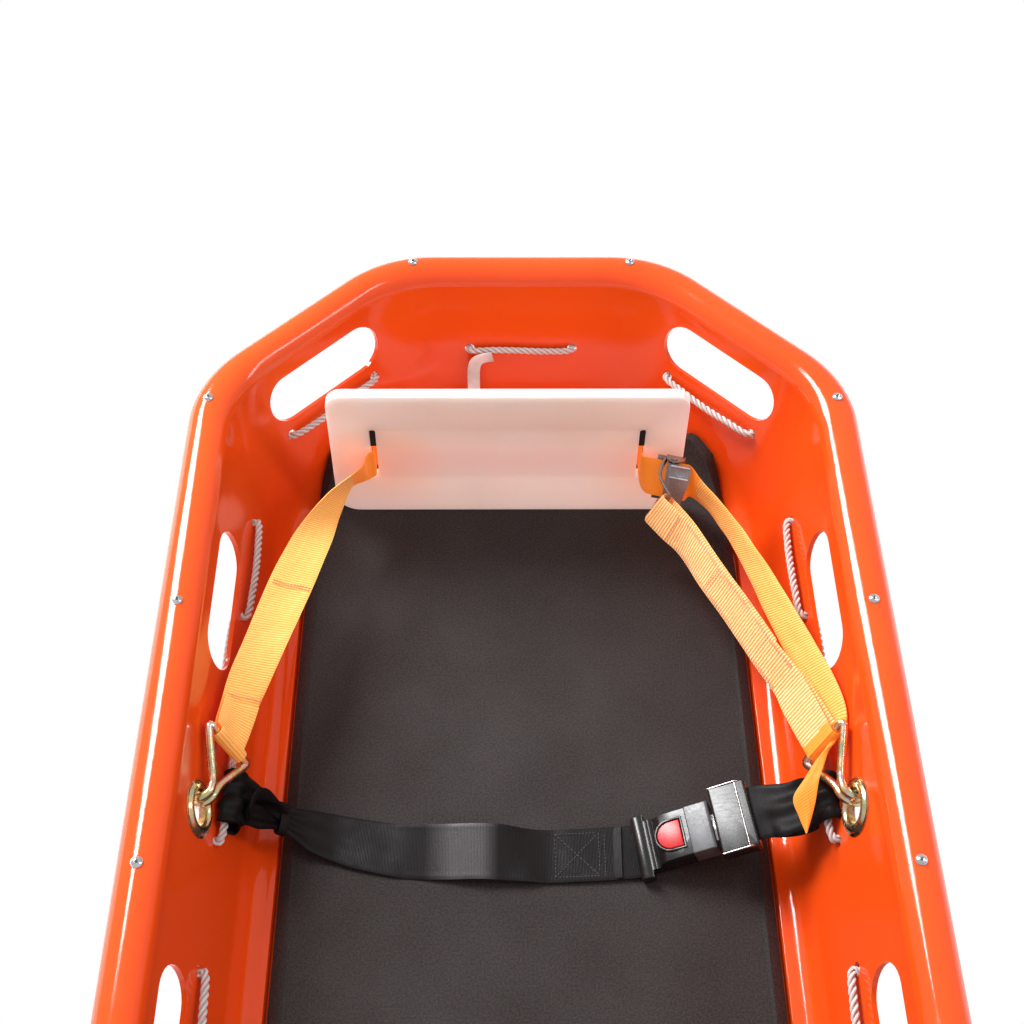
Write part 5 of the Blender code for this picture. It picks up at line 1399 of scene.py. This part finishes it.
def build_housing(plastic, satin):
    """Sloped body with a waisted end for the webbing, a ring round the button and a satin cover."""
    length, width, height = BUCKLE_LENGTH / 2, BUCKLE_WIDTH / 2, BUCKLE_HEIGHT / 2
    side = [(-length, -height), (length, -height), (length, height - 0.001), (length - 0.001, height),
            (-0.004, height), (-0.017, height - 0.0008), (-0.0235, height - 0.0045), (-length, -0.001)]
    body = loose("housing", solid(slab(side, width), 0.0035, 4))
    block = [(-0.0445, -0.006), (-0.025, -0.006), (-0.0235, 0.0015), (-0.0265, 0.0042), (-0.04, 0.0052),
             (-0.044, 0.003)]
    end = loose("end", solid(slab(block, 0.03), 0.0016, 3))
    cut(end, rod(0.0062, 0.04, 32), Matrix.Translation((-0.0318, 0, 0.0098)) @ STOOD)
    for sign in (-1, 1):
        cut(end, box_verts((0.016, 0.01, 0.03), (-0.0245, sign * 0.0285, 0)))
    cut(body, evaluated(end), operation="UNION")
    cut(body, prism(button_outline(0.0006), 0, 0.02), Matrix.Translation((BUTTON_X, 0, height - 0.008)))
    slot = box_verts((0.04, 0.026, 0.0042), (length - 0.005, 0, 0))
    cut(body, slot)
    ring = loose("ring", mesh_of("ring", *prism(button_outline(0.0026), 0, 0.0012)))
    cut(ring, prism(button_outline(0.0007), -0.01, 0.01))
    ring = placed(bevelled(evaluated(ring), 0.0004, 2, 40), Matrix.Translation((BUTTON_X, 0, height - 0.0002)))
    band = [(0.0065, -height + 0.002), (length + 0.0004, -height + 0.002), (length + 0.0004, height - 0.0006),
            (length - 0.0014, height + 0.0007), (0.0065, height + 0.0007)]
    cover = loose("cover", solid(slab(band, width + 0.0005), 0.003, 4))
    cut(cover, slot)
    cut(cover, box_verts((0.2, width * 2 - 0.003, BUCKLE_HEIGHT - 0.003)))
    cut(cover, prism(button_outline(0.0028), -0.03, 0.03), Matrix.Translation((BUTTON_X, 0, height)))
    return joined_mesh("housing", [painted(evaluated(body), plastic), painted(ring, plastic),
                                   painted(evaluated(cover), satin)])


def build_adjuster(plastic, chrome):
    """Wide cap with bright worn edges, and the latch blade that enters the housing."""
    end, side = FRAME_RUN / 2, FRAME_SPAN / 2
    cap = solid(prism(rounded_rectangle(FRAME_RUN, FRAME_SPAN, 0.003, 6), -0.0013, 0.013), 0.0022, 4)
    edges = [wire([(-end + 0.001, sign * (side - 0.0008), 0.0126), (0.008, sign * (side - 0.0008), 0.0134),
                   (0.01, sign * (side - 0.001), 0.0128), (end - 0.0012, sign * (side - 0.0012), 0.009)],
                  0.0015, 0.0008, 10) for sign in (-1, 1)]
    edges += [wire([(x, y, z) for y in (-side + 0.002, 0, side - 0.002)], 0.004, radius, 10)
              for x, radius, z in ((0.0082, 0.0009, 0.013), (end - 0.0008, 0.0008, 0.006))]
    edges = gathered([(*edge[:2], HERE) for edge in edges])
    blade = solid(box_verts((0.034, 0.025, 0.0025), (-0.03, 0, 0)), 0.0004, 2)
    return joined_mesh("adjuster", [painted(cap, plastic), painted(edges, chrome), painted(blade, chrome)])


def belt_left(web, thread, seed):
    """Knot on the rope, tight neck, flat run over the mat with a hump, loop in the buckle's end."""
    path = ((-0.2575, 0.0, 0.087, 0.046, 1.0), (-0.248, 0.002, 0.08, 0.05, 1.0),
            (-0.242, 0.004, 0.09, 0.052, 1.0), (-0.244, 0.003, 0.102, 0.052, 1.0),
            (-0.253, 0.001, 0.1085, 0.05, 1.0), (-0.258, 0.0, 0.1075, 0.048, 1.0),
            (-0.254, 0.002, 0.105, 0.05, 1.0), (-0.243, 0.006, 0.093, 0.052, 1.0),
            (-0.231, 0.0085, 0.07, 0.044, 1.0), (-0.22, 0.0095, 0.053, 0.029, 0.7),
            (-0.213, 0.009, 0.046, 0.026, 0.6), (-0.203, 0.0078, 0.0385, 0.031, 0.6),
            (-0.19, 0.0062, 0.03, 0.039, 0.35), (-0.172, 0.003, 0.023, 0.0445, 0.15),
            (-0.15, -0.002, BELT_FLAT + 0.0026, 0.048, 0.1))
    stations = [(x, y, z, w, 0.0 if x < -0.2 else 0.04, 1, -0.1 if x < -0.215 else 0.0, p) for x, y, z, w, p in path]
    heights = ((-0.12, 0.0015), (-0.1, 0.0028), (-0.07, 0.0062), (-0.048, 0.0098), (-0.033, 0.0108),
               (-0.018, 0.009), (0.0, 0.005), (0.02, 0.0012), (0.04, 0.0018), (0.07, 0.002))
    stations += [(x, belt_drift(x), BELT_FLAT + lift, 0.0505, 0, 1, 0.13 if -0.11 < x < 0.0 else 0.0, 0)
                 for x, lift in heights]
    beam = BUCKLE_AT @ Vector((BEAM_X, 0, 0))
    stations += [(x, belt_drift(x), z, 0.05, *BELT_ACROSS, 0)
                 for x, z in wrap(beam.x, beam.z, BEAM_RADIUS + 0.0016, -80, 60, 4)]
    under = [(x, belt_drift(x), BELT_FLAT + lift, 0.0485, 0.02, 1, 0, 0)
             for x, lift in ((0.085, 0.0042), (0.07, 0.0006), (0.04, 0.0004), (0.024, 0.0003))]
    lump = [(-0.244, -0.018, 0.085, 0.03, 0.7, 0.1, 0.7, 1.0), (-0.242, -0.008, 0.093, 0.034, 0.6, 0.1, 0.8, 1.0),
            (-0.238, 0.004, 0.09, 0.034, 0.6, 0.1, 0.8, 1.0), (-0.23, 0.012, 0.076, 0.03, 0.5, 0.2, 0.8, 1.0),
            (-0.219, 0.012, 0.06, 0.022, 0.5, 0.3, 0.8, 0.8), (-0.212, 0.01, 0.048, 0.018, 0.3, 0.8, 0.5, 0.5)]
    neck = [(-0.2145 + 0.004 * math.cos(a), 0.009 + 0.0148 * math.sin(a), 0.047 + 0.0058 * math.cos(a), 0.0085,
             0.78, 0, -0.62, 0) for a in (TURN * k / 14 for k in range(15))]
    z = BELT_FLAT + 0.0018 + BELT_THICKNESS * 0.6
    left, right, side = 0.026, 0.065, 0.0205
    corners = [Vector((left, -side, z)), Vector((left, side, z)), Vector((right, side, z)), Vector((right, -side, z))]
    lines = []
    for a, b in ((0, 1), (1, 2), (2, 3), (3, 0), (0, 2), (1, 3)):
        p, q = corners[a], corners[b]
        steps = max(4, int((q - p).length / 0.001))
        lines.append([p.lerp(q, k / steps) for k in range(steps + 1)])
    up = Vector((0, 0, 1))
    seams = [[(Vector((v.x, v.y + belt_drift(v.x), v.z)), up) for v in line] for line in lines]
    seams.append([(Vector((0.07, -0.021 + 0.001 * k + belt_drift(0.07), z)), up) for k in range(43)])
    return joined_mesh("belt_left", [
        bunch(stations, web, seed, 26, 0.0021, 0.0016, 2.6), bunch(under, web, seed, 12),
        bunch(lump, web, seed + 3, 16, 0.0026, 0.0018, 1.5, 0.003), bunch(neck, web, seed + 6, 8, thickness=0.0016),
        stitches(seams, thread, 0.00028, 0.003, 0.0012)])


def belt_right(web, seed):
    """Soft wide webbing from the adjuster up to the rope, gathered and turned over it."""
    start = BUCKLE_AT @ Vector((ADJUSTER_X + 0.004, 0, 0.0075))
    edge = BUCKLE_AT @ Vector((ADJUSTER_X + FRAME_RUN / 2 + 0.001, 0, 0.005))
    path = ((*start, 0.05, 0.0), (edge.x, edge.y + 0.0005, edge.z, 0.05, 0.05),
            (edge.x + 0.01, edge.y + 0.001, edge.z + 0.003, 0.05, 0.25), (0.22, 0.001, 0.0765, 0.05, 0.6),
            (0.233, 0.001, 0.083, 0.05, 0.9), (0.243, 0.0, 0.093, 0.048, 1.0), (0.249, -0.001, 0.104, 0.046, 1.0),
            (0.257, -0.001, 0.109, 0.044, 1.0), (0.264, -0.002, 0.106, 0.04, 1.0), (0.2655, -0.002, 0.1, 0.038, 1.0))
    outer = [(x, y, z, w, BELT_ACROSS[0] if x < 0.21 else 0.05, 1, 0, p) for x, y, z, w, p in path]
    path = ((0.218, 0.0, 0.0725, 0.046, 0.5), (0.233, 0.0, 0.076, 0.046, 0.9), (0.244, 0.0, 0.08, 0.044, 1.0),
            (0.25, 0.0, 0.086, 0.04, 1.0), (0.246, -0.002, 0.095, 0.038, 1.0), (0.24, -0.002, 0.096, 0.036, 1.0))
    in_shade = [(x, y, z, w, 0.05, 1, 0, p) for x, y, z, w, p in path]
    return joined_mesh("belt_right", [bunch(outer, web, seed, 26, 0.0024, 0.0017, 2.2, 0.0015),
                                      bunch(in_shade, web, seed + 2, 18, 0.0022, 0.0016, 2.4)])


def build_belts():
    web = webbing("black_webbing_look", (0.0125, 0.0105, 0.0112), (0.005, 0.0042, 0.0045), 0.0013, 0.42, 0.0, 0.00012,
                  (0.34, 0.5))
    painted_sheen(web)
    thread = thread_look("grey_thread_look", (0.1, 0.1, 0.105))
    plastic = glossy_black()
    housing = build_housing(plastic, satin_grey())
    chrome = brushed("chrome_look", (0.6, 0.58, 0.58), 0.16, 900.0, (1, 1, 4), 0.00008)
    adjuster = build_adjuster(plastic, chrome)
    button = painted(solid(prism(button_outline(0.0), -0.0044, 0.0007), 0.001, 3), red_plastic())
    for number, y in enumerate(BELT_Y, 1):
        prefix = f"belt_{number}_"
        place = Matrix.Translation((0, y, 0))
        at = place @ BUCKLE_AT
        buckle = piece(prefix + "buckle", placed(housing, at), None, BASE, prefix + "buckle_housing", sharp=40)
        cap = placed(button, at @ Matrix.Translation((BUTTON_X, 0, BUCKLE_HEIGHT / 2 + 0.0002)))
        cap = piece(prefix + "button", cap, None, prefix + "button", prefix + "release_button", sharp=40)
        mesh = placed(adjuster, at @ Matrix.Translation((ADJUSTER_X, 0, 0)))
        piece(prefix + "adjuster", mesh, None, prefix + "tongue", prefix + "latch_tongue", prefix + "slide_bar",
                      sharp=40)
        mesh = placed(belt_left(web, thread, 1.7 * number), place)
        piece(prefix + "strap_left", mesh, None, BASE, prefix + "webbing_left", sharp=60)
        blended(prefix + "strap_right", placed(belt_right(web, 2.3 * number), place),
                prefix + "webbing_right")


def main():
    build_stage()
    build_camera()
    shell = build_shell()
    build_tube()
    build_rivets()
    gold = rolled_gold()
    build_eyelets(gold)
    build_rope()
    build_mat(shell)
    build_plate()
    build_stay()
    # The orange webbings carry a painted glow (glow=) that lifts their shade.
    orange = webbing("orange_webbing_look", (1.0, 0.72, 0.22), (1.0, 0.37, 0.045), 0.0026, 0.6, 0.15, glow=0.16)
    ribbed = webbing("orange_sewn_look", (1.0, 0.92, 0.5), (1.0, 0.32, 0.03), 0.0032, 0.6, 0.15, 0.0006, glow=0.16)
    # Deeper orange copy of the webbing with more glow: painted shade for the strap parts that lie in shade.
    in_shade = webbing("orange_shaded_look", (1.0, 0.34, 0.032), (1.0, 0.29, 0.024), 0.0026, 0.6, 0.1, 0.0002, glow=0.3)
    pink = thread_look("pink_thread_look", (0.86, 0.3, 0.24))
    build_rear(in_shade)
    build_left(orange, in_shade, pink)
    build_sewn(ribbed, in_shade, pink)
    build_free(orange, in_shade)
    for side in (-1, 1):
        build_hook(gold, side)
    steel = brushed("cam_steel_look", (0.38, 0.36, 0.35), 0.26, 800.0, (1, 1, 6), 0.00005)
    lever = brushed("cam_lever_look", (0.36, 0.37, 0.41), 0.26, 600.0, (6, 1, 1), 0.00004, 0.3)
    # Near-white steel for painted highlights on the lever's ridges and dimple rim.
    edge = brushed("cam_ridge_highlight_look", (0.92, 0.92, 0.95), 0.22, 600.0, (6, 1, 1), 0.00002, 0.2)
    build_cam_frame(steel)
    build_cam_pin(steel)
    build_cam_lever(lever, edge)
    build_belts()


main()
